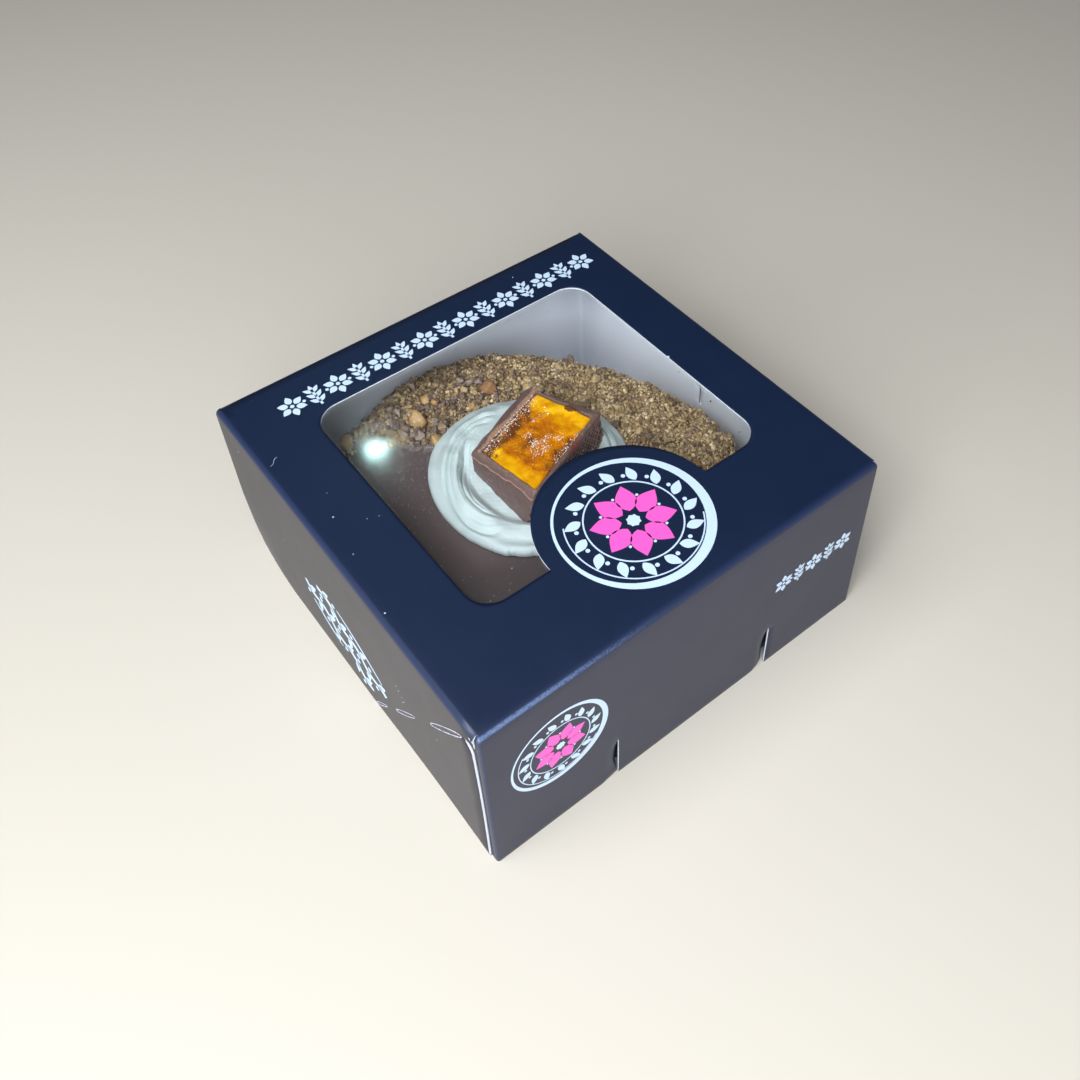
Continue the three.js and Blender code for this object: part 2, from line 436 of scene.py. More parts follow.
def doughnutFinish():
    finish = Finish("glazed_doughnut")
    # crumbs cover the half beyond a diagonal, chocolate the rest, and the dough shows low on the side
    wander = finish.grain(7.0, 3.0)
    beyond = (finish.x + finish.y) * diagonal - crumbs["line"] * diagonal + (wander - 0.5) * 6.0
    bed = finish.step(beyond, -0.6, 0.9)
    chips = finish.cells(1.0, "Color")
    chipTone = finish.node("ShaderNodeSeparateColor", {}, {0: chips}, 0)
    bedColour = finish.ramp(
        chipTone,
        (0.0, paint(104, 84, 62)),
        (0.35, paint(132, 108, 78)),
        (0.7, paint(156, 130, 92)),
        (1.0, paint(178, 152, 112)),
    )
    streaks = finish.grain(16.0, 3.0)
    glaze = finish.mix(streaks, paint(84, 71, 71), paint(104, 89, 88))
    # painted shadow: the glaze is darker towards the front, where the lid's front edge and its tab shade
    # it
    shade = finish.step(finish.y, -8.0, -22.0) * 0.5
    glaze = finish.mix(shade, glaze, paint(58, 48, 50))
    bloom = finish.grain(1.4, 4.0, 0.7)
    glaze = finish.mix(finish.step(bloom, 0.55, 0.8) * 0.25, glaze, paint(120, 104, 98))
    low = finish.step(finish.z + (wander - 0.5) * 7.0, 21.5, 20.3)
    baked = finish.ramp(
        finish.step(finish.z + (streaks - 0.5) * 3.0, 1.0, 20.0),
        (0.0, paint(150, 92, 46)),
        (0.55, paint(196, 138, 78)),
        (0.8, paint(232, 200, 146)),
        (1.0, paint(214, 166, 104)),
    )
    colour = finish.mix(bed, glaze, bedColour)
    colour = finish.mix(low, colour, baked)
    ridge = finish.cells(1.0)
    relief = finish.mix(bed, finish.grain(5.0, 3.0) * 0.35 + bloom * 0.15, ridge)
    return finish.surface(
        Base_Color=colour,
        Roughness=0.42 + 0.16 * bloom + 0.3 * bed,
        Specular_IOR_Level=0.5,
        Normal=finish.bump(relief, 0.25),
    )


def crumbFinish(name, *stops, gloss=0.0, rough=0.08):
    finish = Finish(name)
    tone = finish.attribute("tone")
    pores = finish.grain(0.22, 3.0, 0.6)
    crust = finish.grain(0.8, 4.0, 0.7)
    colour = finish.ramp(tone + (pores - 0.5) * 0.35 + (crust - 0.5) * 0.5, *stops)
    return finish.surface(
        Base_Color=colour,
        Roughness=0.62,
        Coat_Weight=gloss,
        Coat_Roughness=0.15,
        Normal=finish.bump(pores * 0.4 + crust * 0.6, rough),
    )


def creamFinish():
    finish = Finish("whipped_cream")
    soft = finish.grain(4.0, 3.0)
    bubbles = finish.grain(0.28, 3.0, 0.6)
    colour = finish.mix(soft, paint(195, 209, 210), paint(206, 219, 220))
    # painted shade: the cream is darker and greener along its creases
    colour = finish.mix(finish.attribute("crease") * 0.95, colour, paint(166, 188, 184))
    return finish.surface(
        Base_Color=colour,
        Roughness=0.5 + 0.12 * soft,
        Subsurface_Weight=0.1,
        Subsurface_Radius=(1.0, 0.9, 0.8),
        Subsurface_Scale=0.0006,
        Normal=finish.bump(soft * 0.7 + bubbles * 0.3, 0.07),
    )


def chocolateFinish():
    finish = Finish("milk_chocolate")
    cloud = finish.grain(3.2, 4.0, 0.6)
    bloom = finish.grain(0.5, 4.0, 0.7)
    worn = finish.attribute("worn")
    colour = finish.mix(cloud, paint(100, 76, 72), paint(126, 100, 94))
    colour = finish.mix(finish.step(bloom, 0.5, 0.85) * 0.3, colour, paint(150, 124, 114))
    # the worn mark lightens the chocolate to tan: real sugary crust on the rims, painted highlight along
    # the seam and the ledge, and painted light over the long front face
    colour = finish.mix(finish.step(worn + (bloom - 0.5) * 0.7, 0.35, 0.9), colour, paint(184, 140, 116))
    # painted shade: the chocolate darkens in the net's pits and below the seam, where the face is set
    # back
    colour = finish.mix(finish.attribute("pressed") * 0.85, colour, paint(58, 48, 54))
    colour = finish.mix(finish.attribute("amber") * 0.7, colour, paint(122, 56, 48))
    return finish.surface(
        Base_Color=colour,
        Roughness=0.36 + 0.2 * bloom,
        Normal=finish.bump(cloud * 0.7 + bloom * 0.3, 0.12),
    )


def honeycombFinish():
    finish = Finish("burnt_honeycomb")
    burnt = finish.attribute("burnt")
    blush = finish.attribute("blush")
    cloud = finish.grain(3.0, 4.0, 0.6)
    flecks = finish.grain(0.55, 4.0, 0.7)
    colour = finish.ramp(
        cloud + (blush - 0.5) * 0.8,
        (0.1, paint(166, 84, 2)),
        (0.4, paint(212, 130, 0)),
        (0.62, paint(236, 168, 0)),
        (0.9, paint(250, 200, 26)),
    )
    specks = finish.grain(0.24, 3.0, 0.7)
    char = finish.step(burnt + (flecks - 0.5) * 1.5 + (specks - 0.5) * 1.2, 0.4, 1.0)
    colour = finish.mix(char, colour, paint(100, 56, 30))
    colour = finish.mix(finish.step(flecks, 0.62, 0.74) * 0.4 * burnt, colour, paint(250, 214, 160))
    return finish.surface(
        Base_Color=colour,
        Roughness=0.2 + 0.35 * flecks,
        Specular_IOR_Level=0.2,
        Subsurface_Weight=0.1,
        Subsurface_Radius=(1.0, 0.5, 0.15),
        Subsurface_Scale=0.0015,
        Coat_Weight=0.1,
        Coat_Roughness=0.12,
        Normal=finish.bump(cloud * 0.4 + flecks * 0.6, 0.14),
    )


def inkFinish(name, colour, shade):
    finish = Finish(name)
    rub = finish.grain(0.8, 4.0, 0.7)
    mixed = finish.mix(finish.step(rub, 0.5, 0.8) * 0.35, colour, shade)
    return finish.surface(Base_Color=mixed, Roughness=0.34 + 0.14 * rub, Normal=finish.bump(rub, 0.01))


def sugarFinish():
    finish = Finish("dust")
    frost = finish.grain(0.1, 2.0)
    colour = finish.mix(frost, paint(206, 212, 220), paint(240, 244, 248))
    return finish.surface(Base_Color=colour, Roughness=0.4 + 0.3 * frost)


def crystalFinish():
    finish = Finish("sugar_crystal")
    frost = finish.grain(0.15, 2.0)
    colour = finish.ramp(
        finish.attribute("tone"),
        (0.0, paint(196, 136, 96)),
        (0.35, paint(236, 206, 176)),
        (1.0, paint(255, 250, 244)),
    )
    return finish.surface(Base_Color=colour, Roughness=0.1 + 0.25 * frost)


def stops(start, end, count):
    return list(np.linspace(start, end, count + 1))


def merged(*lists):
    # sorted places without near repeats
    places = sorted(place for one in lists for place in one)
    kept = [places[0]]
    for place in places[1:]:
        if place - kept[-1] > 0.06:
            kept.append(place)
    return kept


def windowFrontAt(x):
    reach = carton["tabRadius"] ** 2 - (x - carton["tabCentreX"]) ** 2
    return window["front"] + (math.sqrt(reach) if reach > 0 else 0.0)


def cornerRun(centre, start, outerStart, outerEnd, steps=6):
    # half of a window corner, and the stretch of the panel's border that it faces
    run = []
    for step in range(steps + 1):
        share = step / steps
        angle = math.radians(start + 45 * share)
        arc = (
            centre[0] + carton["windowCorner"] * math.cos(angle),
            centre[1] + carton["windowCorner"] * math.sin(angle),
        )
        border = tuple(a + (b - a) * share for a, b in zip(outerStart, outerEnd))
        run.append((arc, border))
    return run


def panelPairs():
    # points on the window's outline paired with points on the panel's border, anticlockwise
    corner = carton["windowCorner"]
    left, right = window["left"] + corner, window["right"] - corner
    front, back = window["front"] + corner, window["back"] - corner
    tabTurns = np.arange(57) * math.pi / 56
    tabStops = [carton["tabCentreX"] - carton["tabRadius"] * math.cos(turn) for turn in tabTurns]
    besideSlit = (0, 0.4, 0.8, 1.3, 1.9, 2.6, 3.6, 5.0)
    slitStops = [slit["x"] - offset for slit in carton["slits"] for offset in besideSlit]
    frontStops = merged(stops(left, tabStops[0], 5), tabStops, stops(tabStops[-1], right, 5), slitStops)
    pairs = cornerRun((left, front), 225, (-side, -side), (left, -side))
    pairs += [((x, windowFrontAt(x)), (x, -side)) for x in frontStops[1:-1]]
    pairs += cornerRun((right, front), 270, (right, -side), (side, -side))
    pairs += cornerRun((right, front), 315, (side, -side), (side, front))[1:]
    pairs += [((window["right"], y), (side, y)) for y in stops(front, back, 22)[1:-1]]
    pairs += cornerRun((right, back), 0, (side, back), (side, panelRear))
    pairs += cornerRun((right, back), 45, (side, panelRear), (right, panelRear))[1:]
    pairs += [((x, window["back"]), (x, panelRear)) for x in stops(right, left, 26)[1:-1]]
    pairs += cornerRun((left, back), 90, (left, panelRear), (-side, panelRear))
    pairs += cornerRun((left, back), 135, (-side, panelRear), (-side, back))[1:]
    pairs += [((window["left"], y), (-side, y)) for y in stops(back, front, 22)[1:-1]]
    pairs += cornerRun((left, front), 180, (-side, front), (-side, -side))[:-1]
    return pairs


def borderStops(pairs, axis, value):
    # places along one straight side of the panel's border
    return merged([outer[1 - axis] for _, outer in pairs if abs(outer[axis] - value) < 1e-6])


def foldArc(across, rise):
    # a fold's quarter turn in seven steps: how far out each still lies, and how far up
    turns = np.radians(90 * np.arange(1, 8) / 7)
    return [(across * math.cos(turn), rise * math.sin(turn)) for turn in turns]


def cornerDent(y, z):
    # how far the lower rear corner of the left wall is pushed in, with a crease across it
    along = (y - (backEnd - carton["dentLength"])) / carton["dentLength"]
    fold = np.clip(along - z / carton["dentHeight"], 0, 1)
    second = np.clip(along * 1.9 - 0.9 - z / (carton["dentHeight"] * 0.45), 0, 1)
    return carton["dent"] * (0.72 * fold + 0.28 * second)


def wallBow(y, z, hand):
    # the left and right walls aren't quite flat: how far inside their plane a point lies
    below = np.clip((carton["creaseAt"] + carton["creaseSlope"] * y - z) / 58, 0, 1)
    bow = carton["web"] * np.sin(math.pi * below)
    if hand < 0:
        bow = bow + cornerDent(y, z)
    return bow


def frontCut(z):
    # front end of a side wall: a raw edge that curves back into the crease near the top
    crease, bend = carton["cutTop"], carton["cutBend"]
    if z > crease + 0.2:
        return -side
    climb = max(z - bend, 0.0) / (crease - bend)
    return -side + carton["cutBack"] + carton["cutReach"] * climb ** 1.7


def sideWall(sheet, hand, borderY):
    columns = borderY + stops(borderY[-1], backEnd, 2)[1:]
    heights = [lidFoot, 1.5, 3, 5, 7, *range(9, 22, 3), *range(25, 46, 4)]
    heights += stops(carton["cutBend"], carton["cutTop"], 5) + [52.85, 54, wallTop]
    rows = []
    for z in heights:
        cut = frontCut(z)
        row = []
        for y in columns:
            near = max(0.0, 1 - (y + side) / 16)
            place = y + (cut + side) * near
            row.append((hand * (half - wallBow(place, z, hand)), place, z))
        rows.append(row)
    for out, up in foldArc(foldRadius, foldRadius):
        rows.append([(hand * (side + out), y, wallTop + up) for y in columns])
    sheet.grid(rows, (hand, 0, 0.3))


def lipCurl(x, z):
    # the board left of each slit curls in towards the tray
    for slit in carton["slits"]:
        behind = slit["x"] - x
        if -0.2 < behind < 6 and z < carton["slitHeight"]:
            near = max(0.0, 1 - behind / 4.2) ** 2
            drop = 1 - z / carton["slitHeight"]
            fade = 1 - (1 - slit["foot"]) * smooth(drop, 0.62, 0.98)
            return slit["curl"] * near * math.sin(min(1.0, drop * 1.9) * math.pi / 2) * fade
    return 0.0


def frontFoot(x):
    # bottom edge of the front wall, which rises a little beside each slit
    rise = 0.0
    for slit in carton["slits"]:
        behind = slit["x"] - x
        if -0.2 < behind < 6:
            rise = 0.75 * (1 - float(smooth(behind, 3.2, 5.0)))
    return lidFoot + rise


def frontHeights(x):
    foot = frontFoot(x)
    low = [foot + (carton["slitHeight"] - foot) * share for share in stops(0, 1, 11)]
    return low + stops(carton["slitHeight"], wallTop, 14)[1:]


def frontWall(sheet, borderX):
    slitX = [slit["x"] for slit in carton["slits"]]
    ends = [borderX[0], *slitX, borderX[-1]]
    gap = carton["slitGap"]
    for number in range(len(ends) - 1):
        columns = [x for x in borderX if ends[number] - 0.01 <= x <= ends[number + 1] + 0.01]
        grid = []
        for x in columns:
            column = []
            atLeft = number > 0 and x == columns[0]
            atRight = number < len(slitX) and x == columns[-1]
            # right of a slit the foot isn't raised, so its height is asked for a little further on
            for z in frontHeights(x + 0.21 if atLeft else x):
                shift = 0.0
                curl = 0.0 if atLeft else lipCurl(x, z)
                if z < carton["slitHeight"] - 0.01:
                    shift = gap if atLeft else -gap if atRight else 0.0
                column.append((x + shift, -half + curl, z))
            column += [(x, -side - out, wallTop + up) for out, up in foldArc(foldRadius, foldRadius)]
            grid.append(column)
        sheet.grid(grid, (0, -1, 0.3))


def frontCorner(sheet, hand):
    # the front wall wraps round the corner and runs on as a glue flap inside the side wall
    reach = foldRadius - carton["board"] - 0.05
    heights = frontHeights(hand * side)
    grid = []
    for step in range(7):
        turn = math.radians(90 * step / 6)
        outward, ahead = math.sin(turn) ** 0.55, math.cos(turn) ** 0.55 if step < 6 else 0.0
        x, y = side + reach * outward, -side - foldRadius * ahead
        column = [(hand * x, y, z) for z in heights]
        for share, up in foldArc(1.0, foldRadius):
            x, y = side + reach * outward * share, -side - foldRadius * ahead * share
            column.append((hand * x, y, wallTop + up))
        grid.append(column)
    sheet.grid(grid, (hand, -1, 0.3))
    flap = []
    for offset in stops(0, carton["flap"], 5):
        y = -side + offset
        flap.append([(hand * (side + reach - wallBow(y, z, hand)), y, z) for z in heights])
    sheet.grid(flap, (hand, 0, 0))


def makeLid():
    pairs = panelPairs()
    sheet = Patchwork()
    inner = np.array([(*a, top) for a, b in pairs])
    outer = np.array([(*b, top) for a, b in pairs])
    shares = [0, 0.04, 0.15, 0.3, 0.45, 0.6, 0.75, 0.88, 1]
    sheet.grid([inner + (outer - inner) * share for share in shares], (0, 0, 1), closed=True)
    for hand in (-1, 1):
        sideWall(sheet, hand, borderStops(pairs, 0, hand * side))
        frontCorner(sheet, hand)
    frontWall(sheet, borderStops(pairs, 1, -side))
    lid = sheet.piece("printed_lid", [navy, board, rawEdge])
    thicken(lid, carton["board"])
    settle(lid, "lid", "printed_board", "carton_lid")


def trayOutline(inset, corner=1.6):
    # points round the tray, inset from its outer faces; the first lies at the front left
    left, right = trayLow[0] + inset + 0.05, trayHigh[0] - inset - 0.05
    front, back = trayLow[1] + inset + 0.05, backFace - inset
    radius = max(corner - inset, 0.05)
    slot = [tray["slotY"] - tray["slotWidth"] / 2, tray["slotY"] + tray["slotWidth"] / 2]
    alongX = stops(-50, 50, 20)
    alongY = merged(stops(-48, 50, 20), slot)
    outline = [(x, front) for x in [left + radius, *alongX, right - radius]]
    outline += roundCorner(right - radius, front + radius, radius, -90)
    outline += [(right, y) for y in [front + radius, *alongY, back - radius]]
    outline += roundCorner(right - radius, back - radius, radius, 0)
    outline += [(x, back) for x in [right - radius, *alongX[::-1], left + radius]]
    outline += roundCorner(left + radius, back - radius, radius, 90)
    outline += [(left, y) for y in [back - radius, *alongY[::-1], front + radius]]
    outline += roundCorner(left + radius, front + radius, radius, 180)
    return np.array(outline)


def roundCorner(x, y, radius, start, steps=5):
    angles = [math.radians(start + 90 * step / steps) for step in range(1, steps)]
    return [(x + radius * math.cos(a), y + radius * math.sin(a)) for a in angles]


tray = {
    "foldRadius": 1.0,      # where the floor turns up into the walls
    "slotY": 2.9,           # lock slot in the right wall
    "slotLow": 29.0,
    "slotHigh": 35.6,
    "slotWidth": 0.45,
}


def makeTray():
    sheet = Patchwork()
    fold = tray["foldRadius"]
    rim = wallTop - 0.02
    middle = (trayLow[:2] + trayHigh[:2]) / 2
    floor = trayOutline(fold)
    rows = []
    for share in (0.02, 0.35, 0.7, 1):
        rows.append(np.column_stack([middle + (floor - middle) * share, np.zeros(len(floor))]))
    for step in range(1, 5):
        turn = math.radians(90 * step / 4)
        ring = trayOutline(fold * (1 - math.sin(turn)))
        rows.append(np.column_stack([ring, np.full(len(ring), fold * (1 - math.cos(turn)))]))
    heights = merged(stops(fold, rim, 18), [tray["slotLow"], tray["slotHigh"]])[1:]
    wall = trayOutline(0)
    rows = np.array(rows + [np.column_stack([wall, np.full(len(wall), z)]) for z in heights])
    isBack = smooth(rows[..., 1], backEnd - 0.2, backFace - 0.05) * (rows[..., 2] > fold)
    rows[..., 2] *= 1 + (backTop / rim - 1) * isBack
    pushed = cornerDent(rows[..., 1], rows[..., 2]) * smooth(rows[..., 0], -20, -56)
    web = np.array([[wallBow(p[1], p[2], 1) for p in row] for row in rows]) * np.sign(rows[..., 0])
    rows[..., 0] += pushed - web * (np.abs(rows[..., 0]) > 50)
    skip = set()
    for row in range(len(rows) - 1):
        for column in range(rows.shape[1] - 1):
            a, b = rows[row, column], rows[row + 1, column + 1]
            isSlot = abs((a[1] + b[1]) / 2 - tray["slotY"]) < tray["slotWidth"] / 2
            if isSlot and a[0] > 50 and tray["slotLow"] - 0.1 < a[2] and b[2] < tray["slotHigh"] + 0.1:
                skip.add((row, column))
    sheet.grid(rows[4:], (0, 0, 0), closed=True, skip={(row - 4, column) for row, column in skip})
    sheet.grid(rows[:5], (0, 0, -1), closed=True)
    piece = sheet.piece("white_tray", [navy, board, rawEdge])
    with reshaping(piece) as shape:
        hole = [edge for edge in shape.edges if edge.is_boundary and edge.verts[0].co.z < 1e-6]
        bmesh.ops.holes_fill(shape, edges=hole, sides=0)
        bmesh.ops.recalc_face_normals(shape, faces=shape.faces)
        lowest = min(shape.faces, key=lambda face: face.calc_center_median().z)
        if lowest.normal.z > 0:
            bmesh.ops.reverse_faces(shape, faces=shape.faces)
    thicken(piece, carton["board"])
    settle(piece, "base", "tray_board", "carton_tray")


def makeBackFold(rear, wallTop):
    # the crease that the lid turns on, from the back wall's top round to the panel's rear edge
    sheet = Patchwork()
    turns = np.radians(np.linspace(0, 90, 9))
    y = rear + (backFace - rear) * np.cos(turns)
    z = wallTop + (top - wallTop) * np.sin(turns)
    rows = [np.column_stack([np.full(len(turns), x), y, z]) for x in stops(-side, side, 30)]
    sheet.grid(rows, (0, 1, 1))
    piece = sheet.piece("back_fold", [navy, board, rawEdge])
    thicken(piece, carton["board"])
    backFace * mm
    wallTop * mm
    rear * mm
    top * mm
    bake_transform(piece)
    print("back_fold made")


sheetOfFilm = {
    "thickness": 0.12,
    "below": 0.06,          # how far its upper side lies under the window film's box
    "wave": 0.035,          # how high it waves, and how far apart
    "waveLength": 55.0,
    "margin": 12,           # it doesn't wave where it is glued down on the left and right
}


def makeFilm():
    sheet = Patchwork()
    margin = sheetOfFilm["margin"]
    x, y = np.meshgrid(stops(filmLow[0], filmHigh[0], 60), stops(filmLow[1], filmHigh[1], 56))
    places = np.column_stack([x.ravel(), y.ravel()])
    wave = np.reshape(ripple(places, sheetOfFilm["waveLength"], 11), x.shape) * sheetOfFilm["wave"]
    loose = smooth(x, filmLow[0], filmLow[0] + margin) * smooth(x, filmHigh[0], filmHigh[0] - margin)
    sheet.grid(np.dstack([x, y, filmHigh[2] - sheetOfFilm["below"] + wave * loose]), (0, 0, 1))
    piece = sheet.piece("clear_window", [film])
    thicken(piece, sheetOfFilm["thickness"])
    settle(piece, "lid", "clear_film", "window_film")


ornament = {
    "seal": {"x": 1.2, "y": -35.8, "radius": 19.6},
    "smallSeal": {"x": -39.6, "z": 33.0, "radius": 13.6},
    "backBorder": {"left": -47.0, "right": 54.0, "y": 48.4, "height": 8.0},
    "frontBorder": {"left": 27.4, "right": 53.8, "z": 33.4, "height": 6.4},
    "flourish": {"start": (21.5, 26.5), "end": (-10.5, 9.0)},
    "lift": 0.035,          # thickness of the ink
    "clear": 0.004,         # how far it lies off the board
}
flecks = {                  # rubbed spots and lint: two places on the face, and a radius
    "left": [
        (-57.2, 55.4, 0.42), (-22.6, 30.6, 0.16), (-23.4, 29.4, 0.2), (-24.6, 28.2, 0.16),
        (-25.2, 26.8, 0.2), (-24.4, 25.6, 0.14), (9.0, 9.6, 0.2), (8.2, 8.8, 0.16),
        (50.0, 50.0, 0.2), (33.6, 29.6, 0.18), (-40.0, 30.0, 0.14), (56.6, 1.2, 0.3),
    ],
    "top": [
        (-53.5, 9.5, 0.24), (-55.3, -3.0, 0.2), (-47.5, 4.0, 0.15), (-44.8, 3.0, 0.18),
        (-51.0, 17.0, 0.12), (31.0, 55.0, 0.16), (-10.0, -50.0, 0.12), (44.1, 1.4, 0.4),
        (-58.0, -21.5, 0.22),
    ],
}


class Stencil:
    # flat shapes in a plane, later laid on a face of the carton
    def __init__(self):
        self.points = []
        self.faces = []

    def strip(self, inner, outer, closed=False):
        start = len(self.points)
        count = len(inner)
        self.points += [tuple(p) for p in inner] + [tuple(p) for p in outer]
        for number in range(count if closed else count - 1):
            after = (number + 1) % count
            here, there = start + number, start + after
            self.faces.append((here, there, there + count, here + count))

    def stroke(self, path, widths):
        # a line of varying width along a path
        path = np.asarray(path, float)
        tangent = np.gradient(path, axis=0)
        normal = np.column_stack([-tangent[:, 1], tangent[:, 0]])
        normal /= np.linalg.norm(normal, axis=1)[:, None] + 1e-9
        reach = np.broadcast_to(np.asarray(widths, float) / 2, (len(path),))[:, None]
        self.strip(path - normal * reach, path + normal * reach)

    def leaf(self, base, angle, length, width, steps=10):
        along = np.linspace(0, 1, steps + 1)
        direction = np.array([math.cos(angle), math.sin(angle)])
        path = np.asarray(base) + np.outer(along * length, direction)
        self.stroke(path, width * np.sin(along ** 0.8 * math.pi) + 0.02)

    def disc(self, centre, radius, steps=28, lobes=0, depth=0.0):
        angles = np.linspace(0, 2 * math.pi, steps, endpoint=False)
        reach = radius * (1 - depth * (0.5 - 0.5 * np.cos(angles * lobes)))
        ring = np.column_stack([centre[0] + reach * np.cos(angles), centre[1] + reach * np.sin(angles)])
        self.strip(ring * 0.0 + np.asarray(centre), ring, closed=True)

    def ring(self, centre, inner, outer, steps=180, start=0.0, end=360.0):
        # a band between two radii, each a number or one for each step
        isClosed = abs(end - start) >= 360
        angles = np.radians(np.linspace(start, end, steps, endpoint=not isClosed))
        turn = np.column_stack([np.cos(angles), np.sin(angles)])
        inner = np.broadcast_to(np.asarray(inner, float), (steps,))[:, None]
        outer = np.broadcast_to(np.asarray(outer, float), (steps,))[:, None]
        self.strip(np.asarray(centre) + turn * inner, np.asarray(centre) + turn * outer, closed=isClosed)

    def piece(self, name, lay, finish, outward):
        laid = np.array([lay(*point) for point in self.points], float)
        piece = weld(makePiece(name, laid, self.faces, [finish], isSmooth=False), 0.004)
        with reshaping(piece) as shape:
            flipped = [face for face in shape.faces if face.normal @ Vector(outward) < 0]
            bmesh.ops.reverse_faces(shape, faces=flipped)
        thicken(piece, ornament["lift"], inward=False)
        settle(piece, "lid", "printed_board")


def polar(centre, radius, angle):
    return np.asarray(centre) + radius * np.array([math.cos(angle), math.sin(angle)])


def sealShapes(centre, radius, white, pink):
    # a generic seal: a round rim, a wreath of leaves, and a pink flower with a white heart
    steps = 240
    angles = np.linspace(0, 2 * math.pi, steps, endpoint=False)
    # the rim is thicker to the lower right
    heavy = 0.5 + 0.5 * np.cos(angles + math.radians(40))
    white.ring(centre, radius * (0.965 - 0.09 * heavy), radius, steps)
    white.ring(centre, radius * 0.845, radius * 0.862, 140, 150, 330)
    white.ring(centre, radius * 0.60, radius * 0.62, 140)
    for number in range(15):
        angle = 2 * math.pi * number / 15
        white.leaf(polar(centre, radius * 0.64, angle), angle + 0.6, radius * 0.24, radius * 0.13)
        white.disc(polar(centre, radius * 0.71, angle + 0.23), radius * 0.028, 14)
    for number in range(8):
        angle = 2 * math.pi * (number + 0.5) / 8
        pink.leaf(polar(centre, radius * 0.15, angle), angle, radius * 0.40, radius * 0.265, 14)
    white.disc(centre, radius * 0.095, 24, 8, 0.2)
    for number in range(8):
        angle = 2 * math.pi * number / 8
        white.disc(polar(centre, radius * 0.40, angle), radius * 0.02, 10)


def borderShapes(stencil, left, right, level, height, count):
    # a border of blossoms and sprigs in turn, with a dot between each two
    pitch = (right - left) / count
    for number in range(count):
        centre = np.array([left + (number + 0.5) * pitch, level])
        if number % 2 == 0:
            for petal in range(6):
                angle = math.radians(30 + 60 * petal)
                stencil.leaf(polar(centre, height * 0.13, angle), angle, height * 0.36, height * 0.24)
            stencil.disc(centre, height * 0.075, 14)
        else:
            stem = centre + np.outer(np.linspace(-0.5, 0.3, 12), (0, height))
            stencil.stroke(stem, height * 0.085)
            for rise in (-0.36, -0.1, 0.16):
                for lean in (-1, 1):
                    base = centre + np.array([0, rise * height])
                    stencil.leaf(base, math.pi / 2 - lean * 0.85, height * 0.36, height * 0.16)
            stencil.leaf(centre + np.array([0, 0.22 * height]), math.pi / 2, height * 0.3, height * 0.14)
        if number < count - 1:
            stencil.disc(centre + np.array([pitch / 2, -height * 0.02]), height * 0.06, 14)


def makePrint():
    def onTop(x, y):
        return x, y, top + ornament["clear"]

    def onFront(x, z):
        return x, -half - ornament["clear"], z

    def onLeft(y, z):
        return -half + float(wallBow(y, z, -1)) - ornament["clear"], y, z

    topWhite, topPink, frontWhite, frontPink, leftWhite, marks = (Stencil() for _ in range(6))
    seal, small = ornament["seal"], ornament["smallSeal"]
    sealShapes((seal["x"], seal["y"]), seal["radius"], topWhite, topPink)
    sealShapes((small["x"], small["z"]), small["radius"], frontWhite, frontPink)
    band, patch = ornament["backBorder"], ornament["frontBorder"]
    borderShapes(topWhite, band["left"], band["right"], band["y"], band["height"], 15)
    borderShapes(frontWhite, patch["left"], patch["right"], patch["z"], patch["height"], 5)
    flourishShapes(leftWhite)
    topWhite.piece("top_print_white", onTop, whiteInk, (0, 0, 1))
    topPink.piece("top_print_pink", onTop, pinkInk, (0, 0, 1))
    frontWhite.piece("front_print_white", onFront, whiteInk, (0, -1, 0))
    frontPink.piece("front_print_pink", onFront, pinkInk, (0, -1, 0))
    leftWhite.piece("left_print_white", onLeft, whiteInk, (-1, 0, 0))
    creaseMarks(marks)
    marks.piece("crease_marks", onLeft, scuffInk, (-1, 0, 0))
    draw = np.random.default_rng(97)
    for face, lay, outward in (("left", onLeft, (-1, 0, 0)), ("top", onTop, (0, 0, 1))):
        spots = Stencil()
        for across, along, size in flecks[face]:
            spots.disc((across, along), size, 12, 3, draw.uniform(0.2, 0.6))
        if face == "top":
            share = np.linspace(0, 1, 24)
            wave = 0.35 * np.sin(share * 2 * math.pi)
            hair = np.column_stack([-57.6 + 2.6 * share, 33.4 + 1.6 * share - wave])
            spots.stroke(hair, 0.05 + 0.02 * np.sin(share * math.pi))
        spots.piece(face + "_flecks", lay, fleckInk, outward)


def flourishShapes(stencil):
    # two bold winding stems with leaves on either hand in turn, and a long stroke on each side
    start, end = (np.array(ornament["flourish"][key]) for key in ("start", "end"))
    run = end - start
    length = np.linalg.norm(run)
    run /= length
    across = np.array([-run[1], run[0]])
    heading = math.atan2(run[1], run[0])
    share = np.linspace(0, 1, 80)
    for offset, first, last, bow in ((9.3, 0.12, 0.52, 0.7), (-9.3, 0.34, 0.94, -0.9)):
        part = first + (last - first) * share
        aside = offset + bow * np.sin(share * math.pi)
        path = start + np.outer(part * length, run) + np.outer(aside, across)
        stencil.stroke(path, 0.35 + 0.65 * np.sin(share * math.pi) ** 0.6)
    for offset, first, last, turn in ((4.4, -0.02, 0.92, 0.0), (-4.2, 0.1, 1.02, 2.0)):
        part = first + (last - first) * share
        wave = offset + 1.3 * np.sin(share * 5 * math.pi + turn)
        path = start + np.outer(part * length, run) + wave[:, None] * across
        stencil.stroke(path, 1.3 + 0.6 * np.abs(np.sin(share * 5 * math.pi + turn)))
        for number in range(7):
            lean = 1 if number % 2 else -1
            at = int((number + 0.6) / 7.3 * 79)
            stencil.leaf(path[at], heading + lean * 1.2, 5.2, 2.1)
            stencil.disc(path[at] - 2.9 * lean * across, 0.8, 14)


